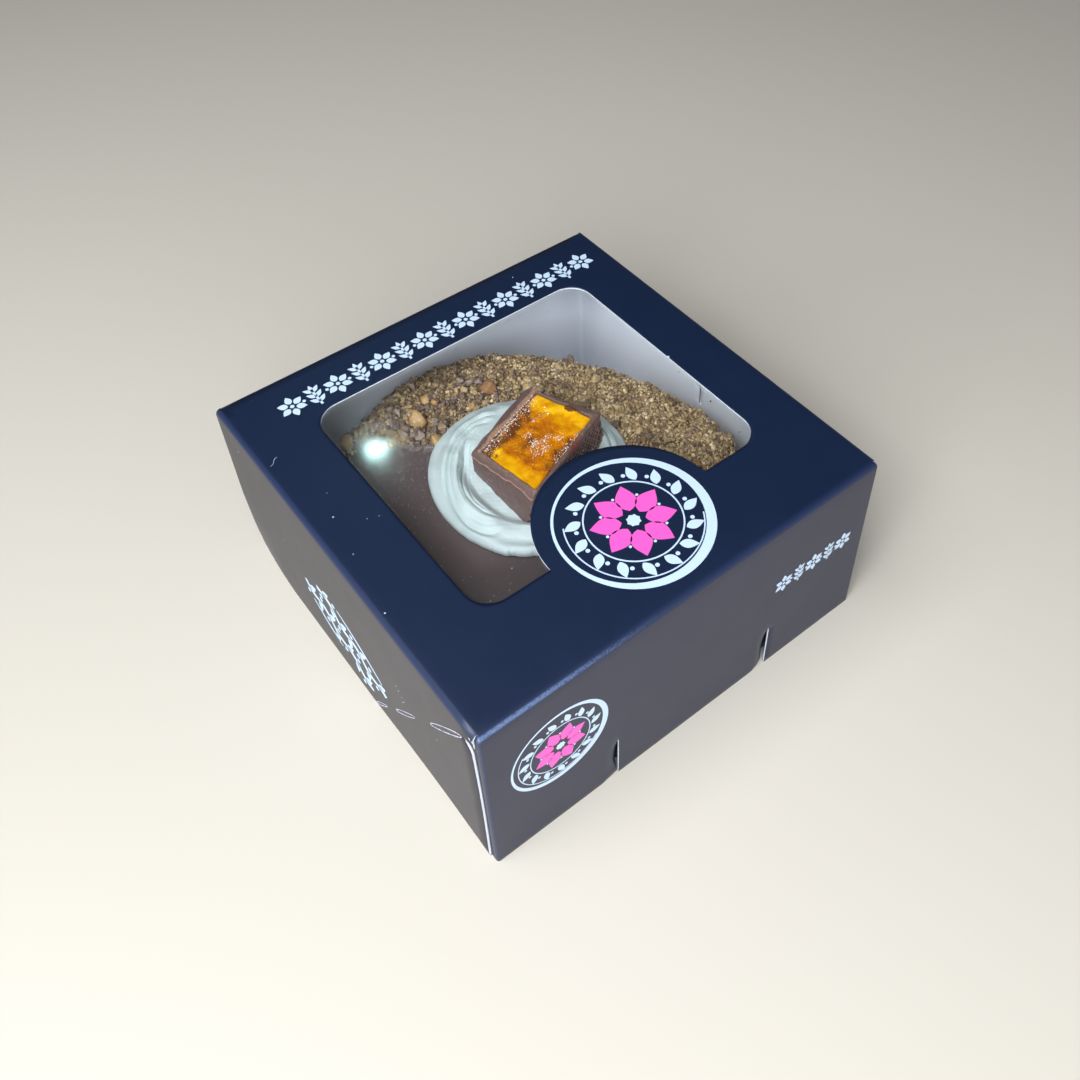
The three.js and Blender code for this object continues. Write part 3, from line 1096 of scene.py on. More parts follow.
def creaseMarks(stencil):
    # rubbed loops where the corner's 45 degree crease was cut through in dashes
    for first, last, width in ((-53.6, -38.6, 1.5), (-29.8, -18.8, 1.2), (-12.6, -5.4, 0.9)):
        share = np.linspace(0, 1, 40)
        y = first + (last - first) * share
        z = carton["creaseAt"] + carton["creaseSlope"] * y
        bulge = 0.5 * width * np.sin(share * math.pi) ** 0.35
        for hand in (-1, 1):
            path = np.column_stack([y, z]) + (hand * diagonal * bulge)[:, None]
            wear = 0.5 + 0.5 * ripple(path, 3.0, 21 + hand)
            stencil.stroke(path, 0.10 + 0.26 * wear)
    # bare board beside the wall's cut front edge
    z = np.linspace(0.6, 52.0, 60)
    y = np.array([frontCut(height) for height in z]) + 0.22
    stencil.stroke(np.column_stack([y, z]), 0.42 + 0.08 * ripple(z[:, None], 5.0, 24))
    stencil.disc((-58.3, 55.4), 0.5, 12, 3, 0.4)


doughnut = {
    "radius": 56.0,
    "stretch": 1.9,         # longer from back left to front right
    "edge": 24.0,           # how far in the rounded side reaches
    "top": 41.6,
    "widest": 19.0,
    "squareness": 2.5,
    "segments": 420,
    "flat": 5.2,            # the back right is flattened and sags: how much, and around which angle
    "sag": 1.5,
    "flatAt": 0.42,
    "flatReach": 0.7,
}
crumbs = {
    "line": 9.7,            # crumbs cover x + y beyond this
    "top": 43.6,
    "edge": 19.0,
    "squareness": 3.2,
    "clod": 4.6,            # size of the clods in the bed, and how far they rise
    "clodRise": 0.75,
    "moat": 0.9,            # how much lower the bed lies beside the cream
}
doughCentre = (doughLow[:2] + doughHigh[:2]) / 2


def flatShare(angle):
    turned = np.abs(np.arctan2(np.sin(angle - doughnut["flatAt"]), np.cos(angle - doughnut["flatAt"])))
    return np.exp(-(turned / doughnut["flatReach"]) ** 2.6)


def doughOutline(angle):
    full = doughnut["radius"] - doughnut["stretch"] * np.sin(2 * angle)
    return full - doughnut["flat"] * flatShare(angle)


def beyondLine(x, y):
    return (x + y - crumbs["line"]) * diagonal


def topHeight(x, y):
    # height of the doughnut's upper surface, with the raised bed of crumbs
    dx, dy = x - doughCentre[0], y - doughCentre[1]
    angle, reach = np.arctan2(dy, dx), np.hypot(dx, dy)
    inward = doughOutline(angle) - reach
    sag = doughnut["sag"] * flatShare(angle) * smooth(reach, 24, 42)

    def dome(edge, squareness, height):
        fall = np.clip(1 - inward / edge, 0, 1) ** squareness
        climb = np.clip(1 - fall, 0, 1) ** (1 / squareness)
        return doughnut["widest"] + (height - doughnut["widest"]) * climb

    plain = dome(doughnut["edge"], doughnut["squareness"], doughnut["top"])
    bed = dome(crumbs["edge"], crumbs["squareness"], crumbs["top"])
    places = np.column_stack([np.ravel(x), np.ravel(y)])
    wander = ripple(places, 14.0, 3).reshape(np.shape(x)) * 1.6
    share = smooth(beyondLine(x, y) + wander, -1.5, 3.5)
    fromCream = np.hypot(x - cream["centre"][0], y - cream["centre"][1])
    moat = crumbs["moat"] * smooth(fromCream, cream["radius"] + 4, cream["radius"])
    swell = ripple(places, 17.0, 5) * 0.45 + ripple(places, crumbs["clod"], 12) * crumbs["clodRise"]
    swell = swell + ripple(places, crumbs["clod"] / 2, 13) * crumbs["clodRise"] * 0.6
    raised = np.maximum(bed, plain) + swell.reshape(np.shape(x)) - moat
    return plain - sag + (raised - plain) * share


def makeDoughnut():
    segments = doughnut["segments"]
    angles = np.linspace(0, 2 * math.pi, segments, endpoint=False)
    outline = doughOutline(angles)
    power = 2 / doughnut["squareness"]
    rings = []
    for turn in np.radians(np.linspace(-90, 0, 22)):
        reach, climb = abs(math.cos(turn)) ** power, abs(math.sin(turn)) ** power
        height = doughnut["widest"] - (doughnut["widest"] - doughLow[2]) * climb
        radius = outline - doughnut["edge"] * (1 - reach)
        rings.append(ringAt(radius, angles, np.full(segments, height)))
    for inward in np.concatenate([np.linspace(0, 1, 15)[1:] ** 2.2 * 10, np.arange(10.8, 52, 0.8)]):
        radius = np.maximum(outline - inward, 0.5)
        flat = ringAt(radius, angles, np.zeros(segments))
        flat[:, 2] = topHeight(flat[:, 0], flat[:, 1])
        rings.append(flat)
    rings = np.array(rings)
    shape = rings.reshape(-1, 3)
    bedShare = smooth(beyondLine(shape[:, 0], shape[:, 1]), -1, 2) * smooth(shape[:, 2], 20, 26)
    rough = ripple(shape, 1.4, 8) * 0.25
    gentle = ripple(shape, 13.0, 9) * 0.14
    uneven = (rough * bedShare + gentle * (1 - bedShare)).reshape(rings.shape[:2])
    rings[..., 2] += uneven * (rings[..., 2] > 15)
    crown = (*doughCentre, float(rings[-1, :, 2].mean()))
    piece = ringedBody("glazed_doughnut", rings, [glazed], (*doughCentre, doughLow[2]), crown)
    settle(piece, "base", "doughnut", "doughnut")


def ringAt(radius, angles, heights):
    x = doughCentre[0] + radius * np.cos(angles)
    y = doughCentre[1] + radius * np.sin(angles)
    return np.column_stack([x, y, heights])


def grainBase(fineness):
    # the corners and faces of a ball
    shape = bmesh.new()
    bmesh.ops.create_icosphere(shape, subdivisions=fineness, radius=1)
    points = np.array([vert.co for vert in shape.verts])
    faces = np.array([[vert.index for vert in face.verts] for face in shape.faces])
    shape.free()
    return points, faces


def turns(draw, count):
    # random rotation matrices
    q = draw.normal(size=(count, 4))
    q /= np.linalg.norm(q, axis=1)[:, None]
    w, x, y, z = q.T
    return np.stack([
        1 - 2 * (y * y + z * z), 2 * (x * y - z * w), 2 * (x * z + y * w),
        2 * (x * y + z * w), 1 - 2 * (x * x + z * z), 2 * (y * z - x * w),
        2 * (x * z - y * w), 2 * (y * z + x * w), 1 - 2 * (x * x + y * y),
    ], axis=1).reshape(count, 3, 3)


def cutBlocks(draw, base, count, cuts, shallow):
    # balls cut by random planes into blocks with softened edges
    normals = draw.normal(size=(count, cuts, 3))
    normals /= np.linalg.norm(normals, axis=2)[..., None]
    depths = draw.uniform(shallow, shallow + 0.4, (count, 1, cuts))
    lean = np.clip(np.einsum("pc,nkc->npk", base, normals), 0.02, None) / depths
    return base[None] * np.clip((lean ** 14).sum(axis=-1), 0.4, None)[..., None] ** (-1 / 14)


def grains(name, places, sizes, tones, finish, seed, squash=(1.0, 0.85, 0.65), jitter=0.22,
           isSmooth=False, cuts=0, fineness=1, shallow=0.55):
    # one mesh of many irregular grains, or of blocks with cut faces
    draw = np.random.default_rng(seed)
    base, triangles = grainBase(fineness)
    count = len(places)
    if cuts:
        shapes = cutBlocks(draw, base, count, cuts, shallow)
    else:
        shapes = base[None] * (1 + draw.uniform(-jitter, jitter, (count, len(base), 1)))
    stretch = np.asarray(squash) * draw.uniform(0.8, 1.2, (count, 1, 3))
    shapes = shapes * stretch * np.asarray(sizes)[:, None, None] / 2
    shapes = np.einsum("nij,nkj->nki", turns(draw, count), shapes)
    if cuts:
        solid = (shapes + np.asarray(places)[:, None]).reshape(-1, 3)
        rough = ripple(solid, 1.5, seed + 1) * 0.14 + ripple(solid, 0.6, seed + 2) * 0.09
        shapes *= 1 + rough.reshape(count, -1, 1) * jitter
    shapes = shapes + np.asarray(places)[:, None]
    faces = (triangles[None] + (np.arange(count) * len(base))[:, None, None]).reshape(-1, 3)
    piece = makePiece(name, shapes.reshape(-1, 3), faces.tolist(), [finish], isSmooth=isSmooth)
    addMarks(piece, tone=np.repeat(tones, len(base)))
    return piece


def spread(draw, pitch, keep):
    # jittered places over the doughnut, kept where a test says so
    span = doughnut["radius"] + 2
    line = np.arange(-span, span, pitch)
    places = np.array([(x, y) for x in line for y in line])
    places = places + draw.uniform(-0.6, 0.6, places.shape) * pitch + doughCentre
    return places[keep(places[:, 0], places[:, 1], draw)]


def onDough(x, y, margin=0.0):
    dx, dy = x - doughCentre[0], y - doughCentre[1]
    return doughOutline(np.arctan2(dy, dx)) - np.hypot(dx, dy) > margin


def underCream(x, y):
    return np.hypot(x - cream["centre"][0], y - cream["centre"][1]) < cream["radius"] - 0.4


def crumbShare(x, y, draw):
    wander = ripple(np.column_stack([x, y]), 9.0, 31) * 1.3
    beyond = beyondLine(x, y) + wander
    stray = 0.05 * np.exp(-np.clip(-beyond, 0, 50) / 2.5)
    chance = np.where(beyond > 0, 1.0, stray)
    return draw.uniform(0, 1, len(x)) < chance


def coarseShare(x, y):
    # 1 towards the left of the crumbs, where the coarse brown bits lie
    return smooth((y - x) * diagonal - 0.4 * beyondLine(x, y), 0.0, 24.0)


def makeCrumbs():
    kinds = (
        {"name": "golden_crumbs", "pitch": 1.05, "low": 0.7, "high": 1.9, "lift": 0.25, "seed": 41,
         "finish": goldCrumb, "tone": (0.1, 1.0), "few": 1.0, "patchy": 0.0},
        {"name": "fine_crumbs", "pitch": 0.76, "low": 0.45, "high": 1.05, "lift": 0.6, "seed": 42,
         "finish": goldCrumb, "tone": (0.2, 0.85), "few": 0.95, "patchy": 0.2},
        {"name": "cocoa_crumbs", "pitch": 1.1, "low": 0.5, "high": 1.6, "lift": 0.6, "seed": 43,
         "finish": cocoaCrumb, "tone": (0.2, 1.0), "few": 0.34, "patchy": 1.7},
    )
    for kind in kinds:
        draw = np.random.default_rng(kind["seed"])

        def keep(x, y, draw):
            chance = kind["few"] + (0.9 - kind["few"]) * coarseShare(x, y)
            chance = chance * (1 + kind["patchy"] * ripple(np.column_stack([x, y]), 6.5, 46))
            isHere = onDough(x, y, 0.8) & ~underCream(x, y) & crumbShare(x, y, draw)
            return isHere & (draw.uniform(0, 1, len(x)) < chance)

        places = spread(draw, kind["pitch"], keep)
        sizes = kind["low"] + (kind["high"] - kind["low"]) * draw.beta(1.6, 2.8, len(places))
        lift = sizes * kind["lift"] * draw.uniform(0.2, 1.0, len(places))
        heights = topHeight(places[:, 0], places[:, 1]) + lift
        low, high = kind["tone"]
        tones = low + (high - low) * draw.beta(2.6, 2.6, len(places))
        tones = tones - 0.22 * coarseShare(places[:, 0], places[:, 1]) + 0.3 * ripple(places, 7.0, 45)
        tones = tones + 0.18 * ripple(places, 2.6, 47)
        points = np.column_stack([places, heights])
        piece = grains(kind["name"], points, sizes, tones, kind["finish"], kind["seed"], isSmooth=True)
        settle(piece, "base", "doughnut")


lumps = [                   # x, y, length, kind
    (-15.5, 35.0, 5.6, "toffee"), (-15.3, 26.4, 5.0, "toffee"), (-31.8, 46.4, 5.6, "toffee"),
    (-9.5, 40.7, 3.8, "toffee"), (-3.2, 43.3, 3.8, "clod"), (6.5, 32.6, 7.6, "shard"),
    (5.1, 37.8, 5.4, "cocoa"), (-19.3, 38.6, 4.6, "cocoa"), (-19.1, 31.2, 5.2, "cocoa"),
    (-19.2, 42.8, 3.8, "cocoa"), (-10.1, 49.6, 3.6, "cocoa"), (-14.2, 48.3, 3.4, "clod"),
    (-30.1, 41.6, 3.4, "cocoa"), (-0.2, 33.1, 4.2, "cocoa"), (-12.3, 30.5, 3.8, "cocoa"),
    (1.5, 39.5, 3.8, "cocoa"), (-5.5, 35.5, 3.6, "cocoa"), (-24.5, 40.5, 3.6, "cocoa"),
    (34.0, -23.0, 3.0, "toffee"), (33.0, 33.0, 4.2, "cocoa"), (28.0, 10.0, 3.0, "clod"),
]


def looseLumps():
    # the band of coarser bits along the left part of the crumbs' border
    draw = np.random.default_rng(52)
    bits = []
    for _ in range(340):
        along, out = draw.uniform(-30, 56), draw.gamma(1.8, 5.0) + 0.5
        x = crumbs["line"] / 2 - along * diagonal + out * diagonal
        y = crumbs["line"] / 2 + along * diagonal + out * diagonal
        isCoarse = draw.uniform() < 0.12 + 0.88 * float(coarseShare(np.array([x]), np.array([y]))[0])
        size, share = draw.uniform(1.5, 3.4), draw.uniform()
        if isCoarse and onDough(x, y, 3.0) and not underCream(x, y):
            bits.append((x, y, size, "toffee" if share < 0.07 else "clod" if share < 0.3 else "cocoa"))
    for _ in range(420):
        x, y = draw.uniform(-52, 56, 2)
        if onDough(x, y, 2.0) and not underCream(x, y) and beyondLine(x, y) > 0:
            bits.append((x, y, draw.uniform(1.4, 3.2), "clod"))
    return bits


def crumbled(every):
    # the cocoa lumps are clumps of several blocks
    draw = np.random.default_rng(53)
    pieces = []
    for x, y, size, kind in every:
        isClump = kind == "cocoa" and size > 3.3
        for _ in range(7 if isClump else 1):
            aside = draw.normal(0, size * 0.24, 2) if isClump else (0, 0)
            part = size * draw.uniform(0.34, 0.66) if isClump else size
            raised = 0.1 if kind == "clod" else 0.2 + 0.15 * size
            lift = draw.uniform(0.1, 1.3) if isClump else raised
            pieces.append((x + aside[0], y + aside[1], lift, part, kind))
    return pieces


def makeLumps():
    every = crumbled(lumps + looseLumps())
    kinds = (               # kind, finish, squash, planes that cut a block, roughness, shallowest cut
        ("toffee", toffee, (1.0, 0.85, 0.7), 10, 0.8, 0.58),
        ("shard", amber, (1.0, 0.85, 0.5), 7, 0.1, 0.34),
        ("cocoa", cocoaCrumb, (1.0, 0.85, 0.7), 10, 1.5, 0.55),
        ("clod", clodCrumb, (1.0, 0.9, 0.6), 16, 1.8, 0.6),
    )
    for kind, finish, squash, cuts, rough, shallow in kinds:
        chosen = np.array([lump[:4] for lump in every if lump[4] == kind])
        heights = topHeight(chosen[:, 0], chosen[:, 1]) + chosen[:, 2]
        tones = np.random.default_rng(50).uniform(0.15, 0.95, len(chosen))
        points = np.column_stack([chosen[:, :2], heights])
        piece = grains(kind + "_lumps", points, chosen[:, 3], tones, finish, 51, squash, rough,
                       isSmooth=kind != "shard", cuts=cuts, fineness=3, shallow=shallow)
        settle(piece, "base", "doughnut")


def makeStrays():
    # a few crumbs that stick to the tray's right and back walls
    x, y = trayHigh[0] - carton["board"] - 0.1, backFace - 0.05 - carton["board"]
    places = [
        (x, -1.8, 33.8), (x, 12.0, 35.0), (x, 21.0, 40.0), (46.0, y, 33.0),
        (31.0, y, 38.0), (12.0, y, 37.0), (x, -14.0, 31.0),
    ]
    sizes = (0.9, 0.4, 0.3, 0.35, 0.3, 0.4, 0.5)
    piece = grains("stray_crumbs", places, sizes, [0.3] * len(sizes), cocoaCrumb, 58)
    settle(piece, "base", "doughnut")


cream = {
    "centre": (-1.4, 2.2),
    "radius": 26.3,
    "foot": 41.7,
    "widest": 43.5,         # height of the rim's outermost line
    "top": 47.3,
    "round": 2.0,           # how far in the rounded rim reaches, and how high it climbs
    "shoulder": 1.75,
    "slope": 1.9,           # how much lower the top is towards the front left
    "sinkLeft": 2.7,        # how deep it sinks beside the chunk
    "sinkRight": 3.0,
    "pitch": 0.18,          # between the rings of the top
    "segments": 520,
    # the creases that the nozzle left: how deep, and each line as (degrees, distance from the centre)
    "creases": [
        (0.9, [(79, 17.9), (86, 19.9), (95, 20.9), (103, 21.4), (112, 21.7), (131, 21.6),
               (144, 21.7), (156, 22.3), (168, 23.0), (180, 23.8), (190, 24.5), (199, 25.0),
               (207, 24.7), (213, 23.3), (219, 21.3)]),
        (0.6, [(88, 17.0), (97, 19.1), (106, 20.3), (124, 20.4), (144, 20.4), (156, 21.0),
               (168, 21.7), (180, 22.2)]),
        (0.8, [(108, 18.9), (123, 18.7), (140, 17.6), (152, 18.1), (163, 18.8), (173, 19.4),
               (183, 19.8), (195, 19.9), (204, 19.3), (212, 18.4)]),
        (0.45, [(146, 16.7), (158, 17.2), (170, 17.9), (184, 18.8), (198, 18.9)]),
        (0.6, [(35, 20.0), (15, 21.6), (-8, 22.0), (-35, 21.0), (-60, 19.4)]),
        (0.4, [(28, 16.8), (8, 18.6), (-18, 18.6)]),
        (0.35, [(246, 25.0), (258, 24.6), (270, 23.4), (286, 22.6)]),
        (0.3, [(226, 18.0), (238, 19.6), (252, 19.4), (266, 18.4)]),
    ],
}


def creamRim(angles):
    degrees = (np.degrees(angles) + 90) % 360 - 90
    towards = np.exp(-((degrees - 224) / 34) ** 2)
    hidden = np.exp(-((degrees - 38) / 32) ** 2)
    rear = np.exp(-((degrees - 125) / 30) ** 2)
    return cream["radius"] + 1.1 * towards + 1.3 * rear - 1.5 * hidden + 0.12 * np.sin(5 * angles)


def creamFrill(angles):
    # the rim's small rough scallops, which show most at the lower left
    waves = ripple(np.column_stack([np.cos(angles), np.sin(angles)]) * 26.0, 3.4, 63)
    fine = ripple(np.column_stack([np.cos(angles), np.sin(angles)]) * 26.0, 1.2, 64)
    share = smooth(np.cos(angles - math.radians(262)), 0.2, 0.85)
    return (0.30 * waves + 0.16 * fine) * (0.1 + 0.9 * share)


def creaseLine(crease, steps=120):
    # a smooth line through the crease's few points, with how deep it is at each step
    degrees, reach = np.array(crease, float).T
    order = np.argsort(degrees)
    fine = np.linspace(degrees.min(), degrees.max(), steps)
    radius = np.interp(fine, degrees[order], reach[order])
    radius = np.convolve(np.pad(radius, 5, mode="edge"), np.ones(11) / 11, "valid")
    angle = np.radians(fine)
    line = np.array(cream["centre"]) + np.column_stack([radius * np.cos(angle), radius * np.sin(angle)])
    share = np.linspace(0, 1, steps)
    return line, smooth(share, 0, 0.14) * smooth(share, 1, 0.9)


def creamRelief(x, y):
    # a narrow crease between two soft rolls, and the faint lines that run along it
    relief = np.zeros(x.shape)
    crease = np.zeros(x.shape)
    centre = np.array(cream["centre"])
    for depth, points in cream["creases"]:
        line, strength = creaseLine(points)
        gap = np.hypot(x[..., None] - line[:, 0], y[..., None] - line[:, 1])
        nearest = gap.argmin(axis=-1)
        away = np.take_along_axis(gap, nearest[..., None], axis=-1)[..., 0]
        outside = np.hypot(x - centre[0], y - centre[1]) > np.hypot(*(line[nearest] - centre).T).T
        signed = np.where(outside, away, -away)
        fade = strength[nearest] * depth
        narrow = np.exp(-(away / 0.26) ** 1.5)
        rolls = 0.42 * np.exp(-((signed - 1.3) / 0.9) ** 2) + 0.24 * np.exp(-((signed + 1.2) / 0.9) ** 2)
        relief += fade * (rolls - 0.75 * narrow - 0.35 * np.exp(-(away / 0.9) ** 2))
        relief += fade * 0.06 * np.sin(away * 2 * math.pi / 1.1) * np.exp(-(away / 3.0) ** 2)
        crease = np.maximum(crease, fade * narrow)
    return relief, crease


def makeCream():
    segments = cream["segments"]
    angles = np.linspace(0, 2 * math.pi, segments, endpoint=False)
    rim, frill = creamRim(angles), creamFrill(angles)
    towards = np.exp(-((np.degrees(angles) - 232) / 34) ** 2)
    # where the cream sinks beside the chunk, on its left and on its right
    onLeft = smooth(np.cos(angles - math.radians(200)), 0.1, 0.8)
    onRight = smooth(np.cos(angles - math.radians(-30)), 0.3, 0.85)
    widest, rounded, shoulder, pitch = (cream[key] for key in ("widest", "round", "shoulder", "pitch"))
    steps = []
    for turn in np.radians(np.linspace(-90, 0, 8))[:-1]:
        inward = 0.45 * (rounded * (1 - math.cos(turn)))
        steps.append((inward, widest + (widest - cream["foot"]) * math.sin(turn)))
    for turn in np.radians(np.linspace(0, 90, 14)):
        steps.append((rounded * (1 - math.cos(turn)), widest + shoulder * math.sin(turn)))
    steps += [(inward, widest + shoulder) for inward in np.arange(rounded + pitch, 23.8, pitch)]
    rings = []
    for inward, height in steps:
        radius = np.maximum(rim - inward + frill * math.exp(-inward / 1.3), 0.8)
        rise = (cream["top"] - widest - shoulder) * float(smooth(inward, 0.9, 6.2))
        slope = -cream["slope"] * towards * float(smooth(inward, 0.6, 4.0))
        sink = -(cream["sinkLeft"] - 1.0 * towards) * onLeft * float(smooth(inward, 7.2, 10.8))
        sink = sink - cream["sinkRight"] * onRight * float(smooth(inward, 5.5, 9.5))
        x, y = centreOut(radius, angles)
        rings.append(np.column_stack([x, y, height + (rise + slope + sink) * np.ones(segments)]))
    rings = np.array(rings)
    upper = smooth(rings[..., 2], widest + 0.6, widest + 1.7)
    relief, crease = creamRelief(rings[..., 0], rings[..., 1])
    rings[..., 2] += relief * upper
    shape = rings.reshape(-1, 3)
    lift = smooth(shape[:, 2], cream["foot"] - 0.2, cream["foot"] + 2.5)
    shape[:, 2] += lift * (ripple(shape[:, :2], 8.0, 61) * 0.26 + ripple(shape[:, :2], 1.7, 62) * 0.03)
    rings = shape.reshape(rings.shape)
    bottom = (*cream["centre"], cream["foot"])
    crown = (*cream["centre"], float(rings[-1, :, 2].mean()))
    piece = ringedBody("piped_cream", rings, [whipped], bottom, crown)
    # the crease mark darkens the cream's colour in its creases: painted shade
    addMarks(piece, 2, crease=crease * upper)
    settle(piece, "base", "cream", "cream_swirl")


def centreOut(radius, angles):
    return cream["centre"][0] + radius * np.cos(angles), cream["centre"][1] + radius * np.sin(angles)


chunk = {
    # corners of the honeycomb's top and of the coat's foot, from the front left end's front corner
    "top": [(-10.6, -12.7, 55.8), (15.5, -1.9, 55.5), (10.4, 15.4, 54.2), (-13.2, 6.8, 54.6)],
    "foot": [(-13.1, -11.5, 44.6), (15.2, -3.0, 44.6), (9.8, 18.3, 44.6), (-14.0, 6.2, 44.6)],
    "length": 26.6,
    "width": 18.7,
    "depth": 12.8,          # how far down the coat's sides reach
    "coat": 1.35,           # how far the chocolate stands out, and how much more or less on each side
    "sides": {"left": 0.5, "right": 2.3, "front": 0.85, "back": 1.7},
    "narrow": 0.62,         # how much of the right rim is lost at its back end
    "shoulder": 2.0,        # the slope that widens the coat on the long back side
    "round": 1.2,
    "corner": 1.2,
    "net": (1.9, 2.4),      # length and height of the diamonds pressed into the long front side
}


def acrossCorners(corners, u, v):
    # blends the four corners, for u and v in millimetres from the middle
    p = np.asarray(u) / chunk["length"] + 0.5
    q = np.asarray(v) / chunk["width"] + 0.5
    weights = ((1 - p) * (1 - q), p * (1 - q), p * q, (1 - p) * q)
    return sum(weight[..., None] * np.array(corner) for weight, corner in zip(weights, corners))


def chunkPlace(u, v, drop):
    # a point of the block, a drop below its top
    upper = acrossCorners(chunk["top"], u, v)
    lower = acrossCorners(chunk["foot"], u, v)
    share = np.asarray(drop) / (upper[..., 2] - lower[..., 2])
    placed = upper + (lower - upper) * np.clip(share, 0, 1)[..., None]
    placed[..., 2] = upper[..., 2] - drop
    return placed


def chunkRing(outset, corner, count=150):
    # a rounded rectangle in the block's own length and width, outside or inside the honeycomb's edge
    reach = {name: outset * (factor if outset > 0 else 1) for name, factor in chunk["sides"].items()}
    left, right = -chunk["length"] / 2 - reach["left"], chunk["length"] / 2 + reach["right"]
    front, back = -chunk["width"] / 2 - reach["front"], chunk["width"] / 2 + reach["back"]
    c = max(corner, 0.15)
    runs = [
        ((left + c, front), (right - c, front), (right - c, front + c), -90),
        ((right, front + c), (right, back - c), (right - c, back - c), 0),
        ((right - c, back), (left + c, back), (left + c, back - c), 90),
        ((left, back - c), (left, front + c), (left + c, front + c), 180),
    ]
    points = []
    for start, end, centre, angle in runs:
        for share in np.linspace(0, 1, count, endpoint=False):
            points.append([s + (e - s) * share for s, e in zip(start, end)])
        for step in range(10):
            turn = math.radians(angle + 90 * step / 10)
            points.append((centre[0] + c * math.cos(turn), centre[1] + c * math.sin(turn)))
    points = np.array(points)
    # the right rim narrows towards the back
    beyond = np.maximum(points[:, 0] - chunk["length"] / 2, 0)
    share = np.clip(points[:, 1] / chunk["width"] + 0.5, 0, 1)
    points[:, 0] -= chunk["narrow"] * share * beyond
    return points


def makeCoat():
    coat, corner, depth = chunk["coat"], chunk["corner"], chunk["depth"]
    steps = [(coat, depth - (depth - chunk["round"]) * share, 0.0) for share in np.linspace(0, 1, 64)]
    outsideRings = len(steps)
    for turn in np.radians(np.linspace(0, 90, 11))[1:]:
        drop = -0.1 + (chunk["round"] + 0.1) * (1 - math.sin(turn))
        steps.append((coat * math.cos(turn) ** 0.8, drop, 0.0))
    steps += [(0.05, -0.05, 0.7), (-0.05, 0.1, 0.5), (-0.1, 0.5, 0.0), (-0.1, 5.0, 0.0)]
    rings = []
    worn = []
    for outset, drop, wear in steps:
        ring = chunkRing(outset, corner + (outset - coat) * 0.7)
        rings.append(np.column_stack([ring, np.full(len(ring), drop)]))
        worn.append(np.full(len(ring), wear))
    rings, marks = shapeCoat(np.array(rings), np.array(worn), outsideRings)
    placed = chunkPlace(rings[..., 0], rings[..., 1], rings[..., 2])
    middles = placed[0].mean(axis=0), placed[-1].mean(axis=0)
    piece = ringedBody("chocolate_coat_fine", placed, [chocolate], *middles)
    addMarks(piece, 2, **marks)
    settle(piece, "base", "chocolate", "chocolate_coat")


def spot(u, v, centre, reach):
    return np.exp(-((u - centre[0]) / reach[0]) ** 2 - ((v - centre[1]) / reach[1]) ** 2)


def shapeCoat(rings, worn, outsideRings):
    # a seam on the front left face, the net on the long front side, a sloping back, and an uneven skin
    u, v, drop = (rings[..., axis].copy() for axis in range(3))
    left, front, back = -chunk["length"] / 2, -chunk["width"] / 2, chunk["width"] / 2
    outside = np.zeros(u.shape)
    outside[:outsideRings] = 1.0
    skin = smooth(np.arange(len(u)), len(u) - 3, outsideRings + 4)[:, None]
    places = np.stack([u, v, drop], axis=-1).reshape(-1, 3)
    uneven = (ripple(places, 7.0, 71) * 0.22 + ripple(places, 2.4, 72) * 0.07).reshape(u.shape)
    endFace = smooth(left - u, 0.1, 0.5)
    seamLine = 2.1 + 0.3 * np.sin(v * 0.5 + 0.4) + 0.16 * np.sin(v * 1.4 + 1) + 0.8 * smooth(v, 2, 9)
    seam = np.exp(-((drop - seamLine) / 0.28) ** 2) * endFace
    under = smooth(drop, seamLine + 0.1, seamLine + 0.6) * endFace
    bulge = np.exp(-((drop - seamLine + 1.0) / 0.9) ** 2) * endFace
    longFace = smooth(front - v, 0.3, 1.0) * outside
    across, down = u * math.pi / chunk["net"][0], drop * math.pi / chunk["net"][1]
    lines = np.minimum(np.abs(np.sin(across + down)), np.abs(np.sin(across - down)))
    pressed = smooth(lines, 0.28, 0.6) * longFace * smooth(drop, 1.7, 2.5)
    backFace = smooth(v, back + 0.1, back + 1.0)
    slope = chunk["shoulder"] * smooth(drop, 0.1, 3.4) * backFace
    ledgeLine = 1.7 + 0.5 * np.sin(u * 0.4) + 0.25 * np.sin(u * 1.1)
    ledge = np.exp(-((drop - ledgeLine) / 0.3) ** 2) * backFace * smooth(u, -9.0, -2.0)
    ends = np.where(np.abs(u) > -left, np.sign(u) * uneven, 0)
    u = u - seam * 0.35 + under * 0.45 - bulge * 0.25 + ends
    v = v + pressed * 0.42 + slope + ledge * 0.2 + np.where(np.abs(v) > back, np.sign(v) * uneven, 0)
    pits = uneven * 0.9 + ripple(places, 1.3, 73).reshape(u.shape) * 0.12
    drop = drop - pits * smooth(drop, 1.6, 0.3) * skin
    rim = smooth(drop, 0.7, 0.0) * smooth(v, back - 0.3, back + 0.5)
    frontRim = smooth(drop, 1.0, 0.1) * smooth(-v, back - 0.2, back + 0.5)
    # painted highlight on the seam and the ledge, tan crust on the rims, and painted light on the long
    # front face outside the net's pits
    worn = worn * 0.5 + 0.95 * seam + 0.35 * ledge + 0.75 * rim + 0.4 * frontRim
    worn = worn + 0.6 * longFace * (1 - pressed)
    amberSpots = 1.4 * spot(u, v, (3.6, front - 0.8), (2.0, 0.8)) * smooth(drop, 3.6, 1.6)
    amberSpots = amberSpots + spot(u, v, (15.5, -0.2), (0.7, 1.9))
    marks = {
        "worn": np.clip(worn, 0, 1),
        # painted shade in the net's pits and below the seam
        "pressed": np.maximum(pressed, under * 0.3),
        "amber": np.clip(amberSpots, 0, 1),
    }
    return np.stack([u, v, drop], axis=-1), marks


